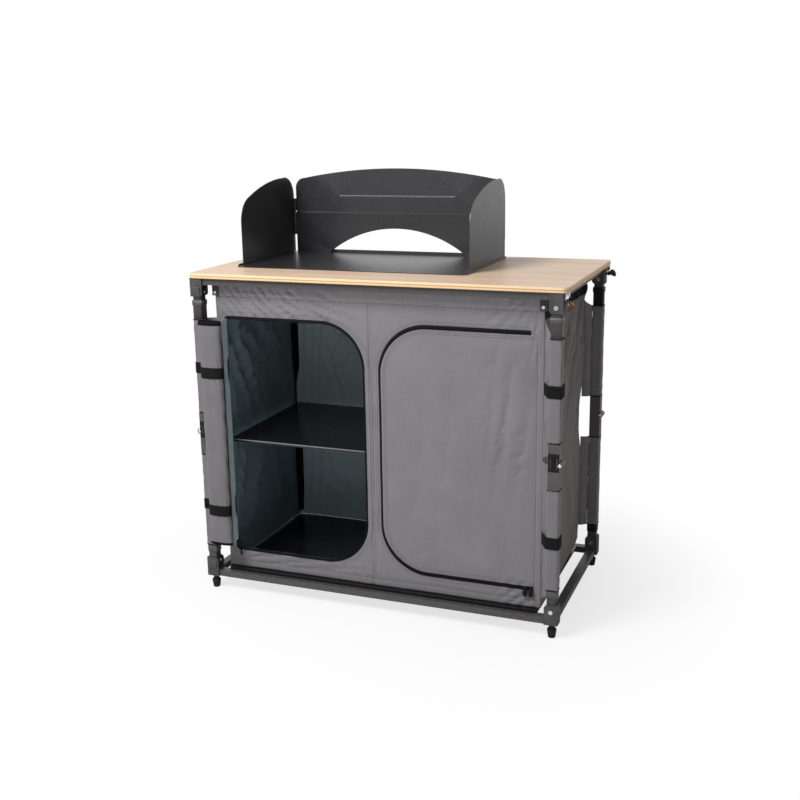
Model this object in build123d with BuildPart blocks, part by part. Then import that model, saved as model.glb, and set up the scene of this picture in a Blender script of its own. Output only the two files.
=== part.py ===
from build123d import *
from math import cos, radians, sin, sqrt
import os

# Camping kitchen unit: a folding steel frame with four knee-jointed legs, a hung cloth
# cupboard with a shelf, a bamboo tabletop and a folding sheet-metal windshield.
# Frame: origin on the floor at the middle of the four feet, +X right, +Y back, +Z up, millimetres.

# Tabletop
table_length = 910
table_depth = 478
table_height = 800
table_thickness = 12
table_shift = 4            # the top stands further out over the toggle latches on the right
table_corner_radius = 14
table_edge_round = 1.2

# Legs, each folding at a knee between two pivots
leg_width = 22
leg_wall = 1.5
leg_edge_round = 2
leg_inset_x = 21           # from the end of the tabletop to the middle of the leg
leg_inset_y = 18
low_pivot_z = 66
high_pivot_drop = 32       # top pivot below the underside of the tabletop
pivot_radius = 3
pivot_head_radius = 5
pivot_head_thickness = 2
running_fit = 0.08         # radial room for a pin that turns
side_gap = 0.5             # room beside a leg in its bracket
end_gap = 1                # room past the round end of a leg

# Corner brackets
bracket_cheek = 3.5
bracket_wall = 4.5
bracket_length = 32
bracket_skirt_low = 28
bracket_skirt_high = 24
bracket_corner_round = 8

# Rails
rail_width = 20
rail_height = 16
rail_wall = 1.5

# Knee housings, knuckles and latches
knee_offset = 14           # hinge line outside the middle of the leg
housing_wall = 2
lower_housing_length = 57
upper_housing_length = 47
lower_tube_setback = 12    # room for the latch tongue above the lower tube
upper_tube_setback = 20    # room for the latch button below the upper tube
knuckle_radius = 6.5
knuckle_relief = 0.5
knuckle_middle_width = 9.6
knuckle_gap = 0.2
knee_pin_radius = 2.5
knee_pin_head_radius = 4
knee_pin_head = 1.5
knee_pin_seat = 0.02       # radial room where the pin is pressed into the lower housing
latch_width = 12
latch_height = 16.5
latch_tongue = 8
latch_gap = 0.15
latch_pad_room = 2         # left bare round the thumb pad
latch_pad_proud = 0.8
latch_flange_width = 16
latch_flange_thickness = 1.5
latch_flange_height = 9

# Leg sleeves
sleeve_thickness = 1.75
sleeve_knee_gap = 4        # from each knee housing
sleeve_foot_gap = 34       # above the skirt of the bottom bracket
sleeve_head_gap = 54       # below the skirt of the top bracket

# Feet
foot_cup_height = 21
foot_cup_low_radius = 8.5
foot_cup_high_radius = 11
foot_neck_height = 13
foot_neck_radius = 7
foot_stud_radius = 4
foot_stud_length = 18

# Base board and shelf
board_thickness = 5
board_seat = 7             # how far the base board lies on each long rail
board_inset = 4            # inside the cloth's side walls
shelf_height = 380
shelf_thickness = 5
shelf_gap = 6              # between the shelf and the cloth
ledge_width = 14
ledge_length = 120
ledge_height = 4

# Cloth cupboard
cupboard_inset_x = 32      # from the middle of the leg to the cupboard's corner
cupboard_inset_y = 21
cloth_thickness = 1.5
side_fold_count = 4
back_fold_pairs = 4        # the folds at both ends of the back point inwards
fold_depth = 3
hem_height = 14            # how far the cloth stands up behind the top rails
web_gap = 0.4
door_inner_x = 21
door_side_border = 22      # cloth beside the doorways
door_low_border = 51
door_high_border = 97
door_radius = 110
door_small_radius = 8
door_hinge_border = 14
door_gap = 1
tape_width = 9.5
tape_thickness = 1.2

# Zip sliders and their pull tabs
slider_width = 8
slider_height = 8
slider_thickness = 2.6
slider_gap = 0.2
slider_pitch = 14
pull_length = 16
pull_width = 5
pull_thickness = 1.1
pull_pin_radius = 0.5
pull_standoff = 1.5        # from the slider to the pin of its pull tab

# Rolled-back left door and its straps
roll_outset = 14.5         # from the doorway's edge out to the middle of the roll
roll_width = 61
roll_depth = 24.5
roll_leg_gap = 3.75        # in front of the leg's sleeve
roll_low_gap = 24          # from the doorway's lower edge
roll_high_gap = 8.5        # below the upper edge of its tape
roll_neck_gap = 2          # from the doorway's edge to the roll's neck
strap_thickness = 1.2
low_strap_lift = 76        # above the lower end of the roll
high_strap_drop = 111      # below the upper end of the roll
roll_strap_width = 27

# Cloth hangers under the top frame
hanger_inset = 2.5         # from the cupboard's corner to the middle of the hanger
hanger_width = 15
hanger_depth = 5
hanger_gap = 0.8
hanger_drop = 28           # below the underside of the top rails
hanger_rivet_radius = 3.5
hanger_rivet_height = 1.2

# Tabletop catches: hooks on the left, hanging bails and toggle levers on the right
hook_length = 30
hook_y = 150
hook_thickness = 2
hook_gap = 0.5
lug_width = 8
lug_reach = 6.5
lever_pin_drop = 20        # below the underside of the tabletop
lever_pin_reach = 4        # out from the bracket
lever_pin_radius = 1.8
lever_cheek = 2
lever_cheek_gap = 0.3
lever_cheek_height = 8
lever_width = 24
lever_height = 22
lever_top = 2              # above its pin
lever_thickness = 3
lever_open_angle = 65      # the back lever stands open
bail_top_width = 13
bail_low_width = 18
bail_notch_width = 10
bail_height = 15           # clear of the lever's cheeks when it is open
bail_notch_height = 12
bail_thickness = 1.5
bail_reach = 2             # out from the bracket
keeper_thickness = 2

# Windshield
plate_thickness = 1.5
plate_margin = 7.5         # past each side of the back screen
plate_depth = 335.5
plate_rear_inset = 20.5    # from the back of the tabletop
plate_corner_radius = 15
plate_rim = 1.5
plate_rim_height = 6
plate_rear_rim_height = 9
screen_inset = 355.5       # from the left end of the tabletop to the middle of the screen
screen_half_width = 288
screen_rim_gap = 5.5       # from the rear edge of the plate
screen_sheet = 1.5
screen_height = 219.5
screen_shoulder_height = 194.5
screen_side_height = 168.5
screen_corner = 26
joggle_height = 104
joggle_step = 3
slot_length = 318
slot_height = 148.5
slot_width = 3
arch_half_width = 191
arch_height = 66
hinge_low = 46             # above the plate
hinge_high = 141
hinge_radius = 3
hinge_pin_radius = 1.2
hinge_clearance = 0.4
wing_stagger = 5           # the right wing folds in front of the left one
wing_length = 291
wing_gap = 1
wing_front_height = 103
wing_shoulder = 246        # from the hinge line forward
wing_shoulder_height = 162
wing_crest = 60
wing_crest_height = 198
wing_rear_height = 150

# Worked out from the sizes above
leg_x = table_length / 2 - leg_inset_x
leg_y = table_depth / 2 - leg_inset_y
table_underside = table_height - table_thickness
high_pivot_z = table_underside - high_pivot_drop
knee_z = (low_pivot_z + high_pivot_z) / 2
leg_half = leg_width / 2
bracket_depth = leg_width + 2 * (side_gap + bracket_cheek)
bracket_outer = leg_half + side_gap + bracket_wall
bracket_inner = bracket_length - bracket_outer
bracket_base_z = foot_cup_height + foot_neck_height
low_block_top = low_pivot_z - leg_half - end_gap
high_block_low = high_pivot_z + leg_half + end_gap
low_rail_top = bracket_base_z + rail_height
high_rail_low = table_underside - rail_height
board_top = low_rail_top + board_thickness
housing_half = leg_half + housing_wall
sleeve_half = leg_half + sleeve_thickness
low_skirt_top = low_block_top + bracket_skirt_low
high_skirt_low = high_block_low - bracket_skirt_high
lower_sleeve_low = low_skirt_top + sleeve_foot_gap
lower_sleeve_high = knee_z - lower_housing_length - sleeve_knee_gap
upper_sleeve_low = knee_z + upper_housing_length + sleeve_knee_gap
upper_sleeve_high = high_skirt_low - sleeve_head_gap
cupboard_x = leg_x - cupboard_inset_x
cupboard_y = leg_y - cupboard_inset_y
cupboard_low = board_top
cupboard_top = high_rail_low + hem_height
door_outer_x = cupboard_x - door_side_border
door_hinge_x = cupboard_x - door_hinge_border
door_low_z = cupboard_low + door_low_border
door_high_z = cupboard_top - door_high_border
cloth_front_y = -cupboard_y
tape_front_y = cloth_front_y - tape_thickness
roll_x = -door_outer_x - roll_outset
roll_back_y = -leg_y - sleeve_half - roll_leg_gap
roll_low_z = door_low_z + roll_low_gap
roll_high_z = door_high_z + tape_width - roll_high_gap
roll_neck_x = -door_outer_x + roll_neck_gap
strap_bands = (
    (roll_low_z + low_strap_lift, roll_low_z + low_strap_lift + roll_strap_width),
    (roll_high_z - high_strap_drop - roll_strap_width, roll_high_z - high_strap_drop),
)
hanger_x = cupboard_x - hanger_inset
plate_top = table_height + plate_thickness
plate_rear_y = table_depth / 2 - plate_rear_inset
plate_front_y = plate_rear_y - plate_depth
screen_x = table_shift - table_length / 2 + screen_inset
screen_rear_y = plate_rear_y - screen_rim_gap
hinge_reach = screen_half_width + hinge_radius - screen_sheet / 2
left_hinge_y = screen_rear_y - screen_sheet - joggle_step
right_hinge_y = left_hinge_y - wing_stagger
screen_edge = hinge_reach - hinge_radius - knuckle_gap
lever_pin_x = leg_x + bracket_outer + lever_pin_reach
lever_pin_z = table_underside - lever_pin_drop
lug_radius = lug_reach - lever_pin_reach

CORNERS = {
    "front_left": (-1, -1),
    "front_right": (1, -1),
    "back_left": (-1, 1),
    "back_right": (1, 1),
}

os.makedirs("parts", exist_ok=True)


def save(piece, name):
    """Label a finished piece and write it as a STEP file."""
    piece.label = name
    export_step(piece, f"parts/{name}.step")


def side_plane(x, y, z):
    """A sketch plane that looks along +Y, with X to the right and Z up."""
    return Plane(origin=(x, y, z), x_dir=(1, 0, 0), z_dir=(0, -1, 0))


def along_y(x, y, z):
    """The place of a cylinder whose axis runs along Y."""
    return Location((x, y, z), (90, 0, 0))


def leg_tube(x_side, y_side, pivot_z, end_z):
    """A square leg tube, hollow all through, with round ears about its pivot."""
    x = x_side * leg_x
    y = y_side * leg_y
    length = end_z - pivot_z
    with BuildPart() as tube:
        with BuildSketch(side_plane(x, y, pivot_z)):
            with Locations((0, length / 2)):
                Rectangle(leg_width, abs(length))
            Circle(leg_half)
        extrude(amount=leg_half, both=True)
        long_edges = tube.edges().filter_by(Axis.Z).filter_by(lambda edge: edge.length > leg_width)
        fillet(long_edges, leg_edge_round)
        with Locations((x, y, pivot_z + length / 2)):
            bore = leg_width - 2 * leg_wall
            Box(bore, bore, abs(length) + 2 * leg_width, mode=Mode.SUBTRACT)
        with Locations(along_y(x, y, pivot_z)):
            Cylinder(pivot_radius + running_fit, 2 * leg_width, mode=Mode.SUBTRACT)
    return tube.part


def knee_housing(x_side, y_side, is_upper):
    """A square housing round the end of a leg tube, with its share of the knee knuckles."""
    x = x_side * leg_x
    y = y_side * leg_y
    hinge_x = x + x_side * knee_offset
    length = upper_housing_length if is_upper else lower_housing_length
    middle_z = knee_z + length / 2 if is_upper else knee_z - length / 2
    outer_width = (2 * housing_half - knuckle_middle_width) / 2 - knuckle_gap
    outer_y = housing_half - outer_width / 2
    own_barrels = [0] if is_upper else [-outer_y, outer_y]
    other_barrels = [-outer_y, outer_y] if is_upper else [0]
    own_width = knuckle_middle_width if is_upper else outer_width
    other_width = outer_width if is_upper else knuckle_middle_width
    pin_hole = knee_pin_radius + (running_fit if is_upper else knee_pin_seat)
    slot_height = latch_height if is_upper else latch_tongue
    slot_room = slot_height + latch_gap
    slot_z = knee_z + slot_room / 2 if is_upper else knee_z - slot_room / 2
    with BuildPart() as housing:
        with Locations((x, y, middle_z)):
            Box(2 * housing_half, 2 * housing_half, length)
        with Locations([along_y(hinge_x, y + shift, knee_z) for shift in own_barrels]):
            Cylinder(knuckle_radius, own_width)
        with Locations((x, y, knee_z)):
            Box(leg_width, leg_width, 4 * length, mode=Mode.SUBTRACT)
        with Locations([along_y(hinge_x, y + shift, knee_z) for shift in other_barrels]):
            Cylinder(
                knuckle_radius + knuckle_relief,
                other_width + 2 * knuckle_gap,
                mode=Mode.SUBTRACT,
            )
        with Locations(along_y(hinge_x, y, knee_z)):
            Cylinder(pin_hole, 4 * housing_half, mode=Mode.SUBTRACT)
        with Locations((x, y + y_side * housing_half, slot_z)):
            Box(latch_width + 2 * latch_gap, 3 * housing_wall, slot_room, mode=Mode.SUBTRACT)
        if not is_upper:
            head_y = housing_half + knee_pin_seat + knee_pin_head / 2
            with Locations(along_y(hinge_x, y, knee_z)):
                Cylinder(knee_pin_radius, 2 * head_y)
            with Locations([along_y(hinge_x, y + shift, knee_z) for shift in (-head_y, head_y)]):
                Cylinder(knee_pin_head_radius, knee_pin_head)
    return housing.part


def knee_latch(x_side, y_side):
    """A sprung push plate: thumb pad, tongue that swings out of the lower housing, flange."""
    x = x_side * leg_x
    face_y = leg_y + housing_half
    high_z = knee_z + latch_height
    low_z = knee_z - latch_tongue
    inner = -x_side * latch_width / 2
    swing = knee_offset + latch_width / 2
    cut_inner = -x_side * (sqrt(swing ** 2 - latch_tongue ** 2) - knee_offset)
    with BuildPart() as latch:
        with BuildSketch(side_plane(x, y_side * (face_y - housing_wall / 2), 0)):
            with BuildLine():
                Polyline(
                    (-inner, low_z),
                    (cut_inner, low_z),
                    (inner, knee_z),
                    (inner, high_z),
                    (-inner, high_z),
                    close=True,
                )
            make_face()
        extrude(amount=housing_wall / 2, both=True)
        pad_height = latch_height - 2 * latch_pad_room
        pad_z = high_z - latch_pad_room - pad_height / 2
        with Locations((x, y_side * (face_y + latch_pad_proud / 2), pad_z)):
            Box(latch_width - 2 * latch_pad_room, latch_pad_proud, pad_height)
        flange_y = face_y - housing_wall - latch_flange_thickness / 2
        with Locations((x, y_side * flange_y, high_z - latch_flange_height / 2)):
            Box(latch_flange_width, latch_flange_thickness, latch_flange_height)
    return latch.part


def leg_sleeve(x_side, y_side, low_z, high_z):
    """A cloth sleeve round one half of a leg."""
    outer = leg_width + 2 * sleeve_thickness
    with BuildPart() as sleeve:
        with BuildSketch(Plane.XY.offset(low_z)):
            with Locations((x_side * leg_x, y_side * leg_y)):
                RectangleRounded(outer, outer, leg_edge_round + sleeve_thickness)
                RectangleRounded(leg_width, leg_width, leg_edge_round, mode=Mode.SUBTRACT)
        extrude(amount=high_z - low_z)
    return sleeve.part


def levelling_foot(x_side, y_side):
    """A foot: tapered cup, neck and the stud that screws into the bottom bracket."""
    with BuildPart() as foot:
        with BuildSketch(side_plane(x_side * leg_x, y_side * leg_y, 0)):
            with BuildLine():
                Polyline(
                    (0, 0),
                    (foot_cup_low_radius - 1, 0),
                    (foot_cup_low_radius, 1),
                    (foot_cup_high_radius, foot_cup_height - 2),
                    (foot_cup_high_radius - 1, foot_cup_height),
                    (foot_neck_radius, foot_cup_height),
                    (foot_neck_radius, bracket_base_z),
                    (foot_stud_radius, bracket_base_z),
                    (foot_stud_radius, bracket_base_z + foot_stud_length),
                    (0, bracket_base_z + foot_stud_length),
                    close=True,
                )
            make_face()
        revolve(axis=Axis((x_side * leg_x, y_side * leg_y, 0), (0, 0, 1)))
    return foot.part


def corner_bracket_set(pivot_z, block_low, block_high, skirt_end):
    """Four moulded brackets, each a block with two cheeks and an outer wall round a leg."""
    points_up = skirt_end > block_high
    low = min(block_low, skirt_end)
    high = max(block_high, skirt_end)
    pocket_low = block_high if points_up else skirt_end
    pocket_high = skirt_end if points_up else block_low
    middle_x = leg_x + (bracket_outer - bracket_inner) / 2
    pocket_x = leg_half + side_gap
    with BuildPart() as brackets:
        with BuildSketch(side_plane(middle_x, leg_y, (low + high) / 2)):
            Rectangle(bracket_length, high - low)
        extrude(amount=bracket_depth / 2, both=True)
        fillet(brackets.edges().filter_by(Axis.Z).group_by(Axis.X)[-1], bracket_cheek - 1)
        inner_edges = brackets.edges().filter_by(Axis.Y).group_by(Axis.X)[0]
        fillet(inner_edges.sort_by(Axis.Z)[-1 if points_up else 0], bracket_corner_round)
        with Locations((leg_x + pocket_x - bracket_length / 2, leg_y, (pocket_low + pocket_high) / 2)):
            Box(bracket_length, 2 * pocket_x, pocket_high - pocket_low, mode=Mode.SUBTRACT)
        with Locations(along_y(leg_x, leg_y, pivot_z)):
            Cylinder(pivot_radius, 2 * bracket_depth, mode=Mode.SUBTRACT)
        if points_up:
            with Locations((leg_x, leg_y, (block_low + block_high) / 2)):
                bore_radius = foot_stud_radius + running_fit
                Cylinder(bore_radius, 2 * (block_high - block_low), mode=Mode.SUBTRACT)
        mirror(about=Plane.XZ)
        mirror(about=Plane.YZ)
    return brackets.part


def pivot_rivets(pivot_z):
    """The four rivets that the leg ends turn on, with a head at each end."""
    half_length = bracket_depth / 2
    with BuildPart() as rivets:
        for x_side, y_side in CORNERS.values():
            x = x_side * leg_x
            y = y_side * leg_y
            with Locations(along_y(x, y, pivot_z)):
                Cylinder(pivot_radius, 2 * half_length)
            for side in (-1, 1):
                head_y = y + side * (half_length + pivot_head_thickness / 2)
                with Locations(along_y(x, head_y, pivot_z)):
                    Cylinder(pivot_head_radius, pivot_head_thickness)
    return rivets.part


def rail_frame(low_z):
    """Four hollow rails between the corner brackets: two along X and two along Y."""
    long_length = 2 * (leg_x - bracket_inner)
    short_length = 2 * (leg_y - bracket_depth / 2)
    hollow_width = rail_width - 2 * rail_wall
    hollow_height = rail_height - 2 * rail_wall
    middle_z = low_z + rail_height / 2
    with BuildPart() as rails:
        with Locations((0, -leg_y, middle_z), (0, leg_y, middle_z)):
            Box(long_length, rail_width, rail_height)
            Box(long_length, hollow_width, hollow_height, mode=Mode.SUBTRACT)
        with Locations((-leg_x, 0, middle_z), (leg_x, 0, middle_z)):
            Box(rail_width, short_length, rail_height)
            Box(hollow_width, short_length, hollow_height, mode=Mode.SUBTRACT)
    return rails.part


def wavy_wall(length, folds, depth):
    """A vertical cloth wall in plan, lying along X about the origin, with shallow folds."""
    step = length / folds
    with BuildSketch() as wall:
        with BuildLine():
            for level in (0, cloth_thickness):
                for index in range(folds):
                    start = -length / 2 + index * step
                    bulge = depth if index % 2 else -depth
                    ThreePointArc(
                        (start, level),
                        (start + step / 2, level + bulge),
                        (start + step, level),
                    )
            Line((-length / 2, 0), (-length / 2, cloth_thickness))
            Line((length / 2, 0), (length / 2, cloth_thickness))
        make_face()
    return wall.sketch


def door_outline(inner_x, outer_x, low_z, high_z, radius, small_radius):
    """A door shape: two large round corners on the inner side, two small ones outside."""
    side = 1 if outer_x > inner_x else -1
    bend = radius * (1 - cos(radians(45)))
    small_bend = small_radius * (1 - cos(radians(45)))
    with BuildLine() as outline:
        Line((inner_x, low_z + radius), (inner_x, high_z - radius))
        ThreePointArc(
            (inner_x, high_z - radius),
            (inner_x + side * bend, high_z - bend),
            (inner_x + side * radius, high_z),
        )
        Line((inner_x + side * radius, high_z), (outer_x - side * small_radius, high_z))
        ThreePointArc(
            (outer_x - side * small_radius, high_z),
            (outer_x - side * small_bend, high_z - small_bend),
            (outer_x, high_z - small_radius),
        )
        Line((outer_x, high_z - small_radius), (outer_x, low_z + small_radius))
        ThreePointArc(
            (outer_x, low_z + small_radius),
            (outer_x - side * small_bend, low_z + small_bend),
            (outer_x - side * small_radius, low_z),
        )
        Line((outer_x - side * small_radius, low_z), (inner_x + side * radius, low_z))
        ThreePointArc(
            (inner_x + side * radius, low_z),
            (inner_x + side * bend, low_z + bend),
            (inner_x, low_z + radius),
        )
    return outline.line


def left_opening(grow):
    """The open doorway on the left, grown by a margin all round."""
    return door_outline(
        -door_inner_x + grow,
        -door_outer_x - grow,
        door_low_z - grow,
        door_high_z + grow,
        door_radius + grow,
        door_small_radius + grow,
    )


def right_opening(grow):
    """The zipped doorway on the right, grown by a margin on its three zipped sides."""
    return door_outline(
        door_inner_x - grow,
        door_hinge_x + grow,
        door_low_z - grow,
        door_high_z + grow,
        door_radius + grow,
        door_small_radius,
    )


# Bottom frame: brackets, rivets, rails, feet and the board they carry
save(
    corner_bracket_set(low_pivot_z, bracket_base_z, low_block_top, low_skirt_top),
    "bottom_brackets",
)
save(pivot_rivets(low_pivot_z), "bottom_rivets")
save(rail_frame(bracket_base_z), "bottom_rails")

with BuildPart() as base_board:
    with Locations((0, 0, low_rail_top + board_thickness / 2)):
        board_half_y = leg_y - rail_width / 2 + board_seat
        Box(2 * (cupboard_x - board_inset), 2 * board_half_y, board_thickness)
    fillet(base_board.edges().filter_by(Axis.Z), door_small_radius)
base_board.part.label = "base_board"
export_step(base_board.part, "parts/base_board.step")

# Legs: two tubes, two knee housings, a latch, two cloth sleeves and a foot at each corner
for corner, (x_side, y_side) in CORNERS.items():
    lower_end = knee_z - lower_tube_setback
    upper_end = knee_z + upper_tube_setback
    save(leg_tube(x_side, y_side, low_pivot_z, lower_end), f"lower_leg_tube_{corner}")
    save(leg_tube(x_side, y_side, high_pivot_z, upper_end), f"upper_leg_tube_{corner}")
    save(knee_housing(x_side, y_side, False), f"lower_knee_housing_{corner}")
    save(knee_housing(x_side, y_side, True), f"upper_knee_housing_{corner}")
    save(knee_latch(x_side, y_side), f"knee_latch_{corner}")
    save(leg_sleeve(x_side, y_side, lower_sleeve_low, lower_sleeve_high), f"lower_sleeve_{corner}")
    save(leg_sleeve(x_side, y_side, upper_sleeve_low, upper_sleeve_high), f"upper_sleeve_{corner}")
    save(levelling_foot(x_side, y_side), f"foot_{corner}")

# Cloth cupboard: flat front with two doorways, folded back and sides, webs to the sleeves
wall_height = cupboard_top - cupboard_low
sleeve_bands = ((lower_sleeve_low, lower_sleeve_high), (upper_sleeve_low, upper_sleeve_high))
with BuildPart() as cloth_cupboard:
    with Locations((0, cloth_front_y + cloth_thickness / 2, cupboard_low + wall_height / 2)):
        Box(2 * cupboard_x, cloth_thickness, wall_height)
    with BuildSketch(Plane((0, cupboard_y - cloth_thickness, cupboard_low))):
        add(wavy_wall(2 * cupboard_x, 2 * back_fold_pairs + 1, fold_depth))
    extrude(amount=wall_height)
    for side in (-1, 1):
        wall_x = side * cupboard_x - (cloth_thickness if side > 0 else 0)
        wall_plane = Plane(origin=(wall_x, 0, cupboard_low), x_dir=(0, -1, 0), z_dir=(0, 0, 1))
        with BuildSketch(wall_plane):
            add(wavy_wall(2 * cupboard_y, side_fold_count, fold_depth))
        extrude(amount=wall_height)
        ledge_x = side * (cupboard_x - ledge_width / 2)
        with Locations((ledge_x, 0, shelf_height - ledge_height / 2)):
            Box(ledge_width, ledge_length, ledge_height)
    web_x = leg_x - sleeve_half - web_gap
    web_y = leg_y - leg_half
    for low_z, high_z in sleeve_bands:
        for x_side, y_side in CORNERS.values():
            with BuildSketch(Plane.XY.offset(low_z)):
                with BuildLine():
                    Polyline(
                        (x_side * (cupboard_x - cloth_thickness), y_side * cupboard_y),
                        (x_side * cupboard_x, y_side * (cupboard_y - cloth_thickness)),
                        (x_side * web_x, y_side * web_y),
                        (x_side * web_x, y_side * (web_y + cloth_thickness)),
                        close=True,
                    )
                make_face()
            extrude(amount=high_z - low_z)
    for doorway in (left_opening(0), right_opening(0)):
        with BuildSketch(side_plane(0, cloth_front_y, 0)):
            make_face(doorway.edges())
        extrude(amount=4 * cloth_thickness, both=True, mode=Mode.SUBTRACT)
cloth_cupboard.part.label = "cloth_cupboard"
export_step(cloth_cupboard.part, "parts/cloth_cupboard.step")

# Zip tapes round the two doorways; the right one is open along its hinge side
door_middle_z = (door_low_z + door_high_z) / 2
upper_tape_end = door_outer_x - tape_width / 2
lower_tape_end = door_outer_x + slider_width / 2
with BuildPart() as zip_tapes:
    with BuildSketch(side_plane(0, cloth_front_y, 0)):
        make_face(left_opening(tape_width).edges())
        make_face(left_opening(0).edges(), mode=Mode.SUBTRACT)
        make_face(right_opening(tape_width).edges())
        make_face(right_opening(0).edges(), mode=Mode.SUBTRACT)
        with Locations((upper_tape_end, door_middle_z)):
            Rectangle(table_length, table_height, align=(Align.MIN, Align.MIN), mode=Mode.SUBTRACT)
        with Locations((lower_tape_end, door_middle_z)):
            Rectangle(table_length, table_height, align=(Align.MIN, Align.MAX), mode=Mode.SUBTRACT)
    extrude(amount=tape_thickness)
zip_tapes.part.label = "zip_tapes"
export_step(zip_tapes.part, "parts/zip_tapes.step")

with BuildPart() as right_door:
    with BuildSketch(side_plane(0, cloth_front_y + cloth_thickness, 0)):
        make_face(right_opening(-door_gap).edges())
    extrude(amount=cloth_thickness)
right_door.part.label = "right_door"
export_step(right_door.part, "parts/right_door.step")


def slider_place(index):
    """Where a zip slider rests on the lower tape, counted from the closed end."""
    slider_x = door_outer_x - index * slider_pitch
    slider_y = tape_front_y - slider_gap - slider_thickness / 2
    return slider_x, slider_y, door_low_z - tape_width / 2


def zip_slider(index):
    """A slider body with a small lug for its pull tab."""
    x, y, z = slider_place(index)
    lug_x_width = pull_width / 2 - slider_gap
    with BuildPart() as slider:
        with Locations((x, y, z)):
            Box(slider_width, slider_thickness, slider_height)
        fillet(slider.edges().filter_by(Axis.Y), slider_width / 4)
        face_y = y - slider_thickness / 2
        with Locations((x, face_y, z - slider_height / 4)):
            Box(
                lug_x_width,
                pull_standoff + pull_thickness,
                3 * pull_thickness,
                align=(Align.CENTER, Align.MAX, Align.CENTER),
            )
        with Locations(Location((x, face_y - pull_standoff, z - slider_height / 4), (0, 90, 0))):
            Cylinder(pull_pin_radius + running_fit, slider_width, mode=Mode.SUBTRACT)
    return slider.part


def pull_tab(index):
    """A pull tab that hangs from its slider, forked round the lug, with its own pin."""
    x, y, z = slider_place(index)
    lug_x_width = pull_width / 2 - slider_gap
    tab_y = y - slider_thickness / 2 - pull_standoff
    pin_z = z - slider_height / 4
    fork_depth = 4 * pull_thickness
    with BuildPart() as tab:
        with BuildSketch(side_plane(x, tab_y, pin_z - pull_length / 2 + pull_thickness)):
            RectangleRounded(pull_width, pull_length, pull_width / 4)
        extrude(amount=(pull_thickness - slider_gap) / 2, both=True)
        with Locations((x, tab_y, pin_z)):
            Box(lug_x_width + 2 * slider_gap, slider_width, fork_depth, mode=Mode.SUBTRACT)
        with Locations(Location((x, tab_y, pin_z), (0, 90, 0))):
            Cylinder(pull_pin_radius, pull_width - pull_thickness)
    return tab.part


for index, label in enumerate(("outer", "inner")):
    save(zip_slider(index), f"zip_slider_{label}")
    save(pull_tab(index), f"pull_tab_{label}")


def roll_section(grow):
    """Plan of the rolled door: a flat back and a full round front, grown by a margin."""
    left = roll_x - roll_width / 2 - grow
    right = roll_x + roll_width / 2 + grow
    back = roll_back_y + grow
    with BuildLine() as section:
        ThreePointArc((left, back), (roll_x, roll_back_y - roll_depth - grow), (right, back))
        Line((right, back), (left, back))
    return section.line


with BuildPart() as rolled_door:
    with BuildSketch(Plane.XY.offset(roll_low_z)):
        make_face(roll_section(0).edges())
        roll_right = roll_x + roll_width / 2
        with BuildLine():
            Polyline(
                (roll_neck_x, tape_front_y),
                (roll_neck_x - cloth_thickness, tape_front_y),
                (roll_right - 4 * cloth_thickness, roll_back_y),
                (roll_right - 3 * cloth_thickness, roll_back_y),
                close=True,
            )
        make_face()
    extrude(amount=roll_high_z - roll_low_z)
rolled_door.part.label = "rolled_door"
export_step(rolled_door.part, "parts/rolled_door.step")

with BuildPart() as roll_straps:
    for low_z, high_z in strap_bands:
        with BuildSketch(Plane.XY.offset(low_z)):
            make_face(roll_section(strap_thickness).edges())
            make_face(roll_section(0).edges(), mode=Mode.SUBTRACT)
            neck_slot_x = roll_x + roll_width / 2 - 4 * cloth_thickness
            with Locations((neck_slot_x, roll_back_y)):
                Rectangle(4 * cloth_thickness, 3 * strap_thickness, mode=Mode.SUBTRACT)
        extrude(amount=high_z - low_z)
roll_straps.part.label = "roll_straps"
export_step(roll_straps.part, "parts/roll_straps.step")

with BuildPart() as shelf_board:
    with BuildSketch(Plane.XY.offset(shelf_height)):
        shelf_room = cloth_thickness + fold_depth + shelf_gap
        RectangleRounded(
            2 * (cupboard_x - shelf_room),
            2 * (cupboard_y - shelf_room),
            door_small_radius,
        )
    extrude(amount=shelf_thickness)
shelf_board.part.label = "shelf_board"
export_step(shelf_board.part, "parts/shelf_board.step")

# Top frame, with the lugs that carry the toggle levers on its two right brackets
plain_brackets = corner_bracket_set(high_pivot_z, high_block_low, table_underside, high_skirt_low)
with BuildPart() as top_brackets:
    add(plain_brackets)
    for y_side in (-1, 1):
        with Locations((lever_pin_x, y_side * leg_y, lever_pin_z)):
            Box(
                lever_pin_reach + bracket_wall / 2,
                lug_width,
                2 * lug_radius,
                align=(Align.MAX, Align.CENTER, Align.CENTER),
            )
        with Locations(along_y(lever_pin_x, y_side * leg_y, lever_pin_z)):
            Cylinder(lug_radius, lug_width)
            Cylinder(lever_pin_radius + running_fit, 2 * lug_width, mode=Mode.SUBTRACT)
top_brackets.part.label = "top_brackets"
export_step(top_brackets.part, "parts/top_brackets.step")

save(pivot_rivets(high_pivot_z), "top_rivets")
save(rail_frame(high_rail_low), "top_rails")

with BuildPart() as tabletop:
    with BuildSketch(Plane((table_shift, 0, table_underside))):
        RectangleRounded(table_length, table_depth, table_corner_radius)
    extrude(amount=table_thickness)
    rims = tabletop.faces().filter_by(Axis.Z).edges()
    fillet(rims, table_edge_round)
tabletop.part.label = "tabletop"
export_step(tabletop.part, "parts/tabletop.step")

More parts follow.
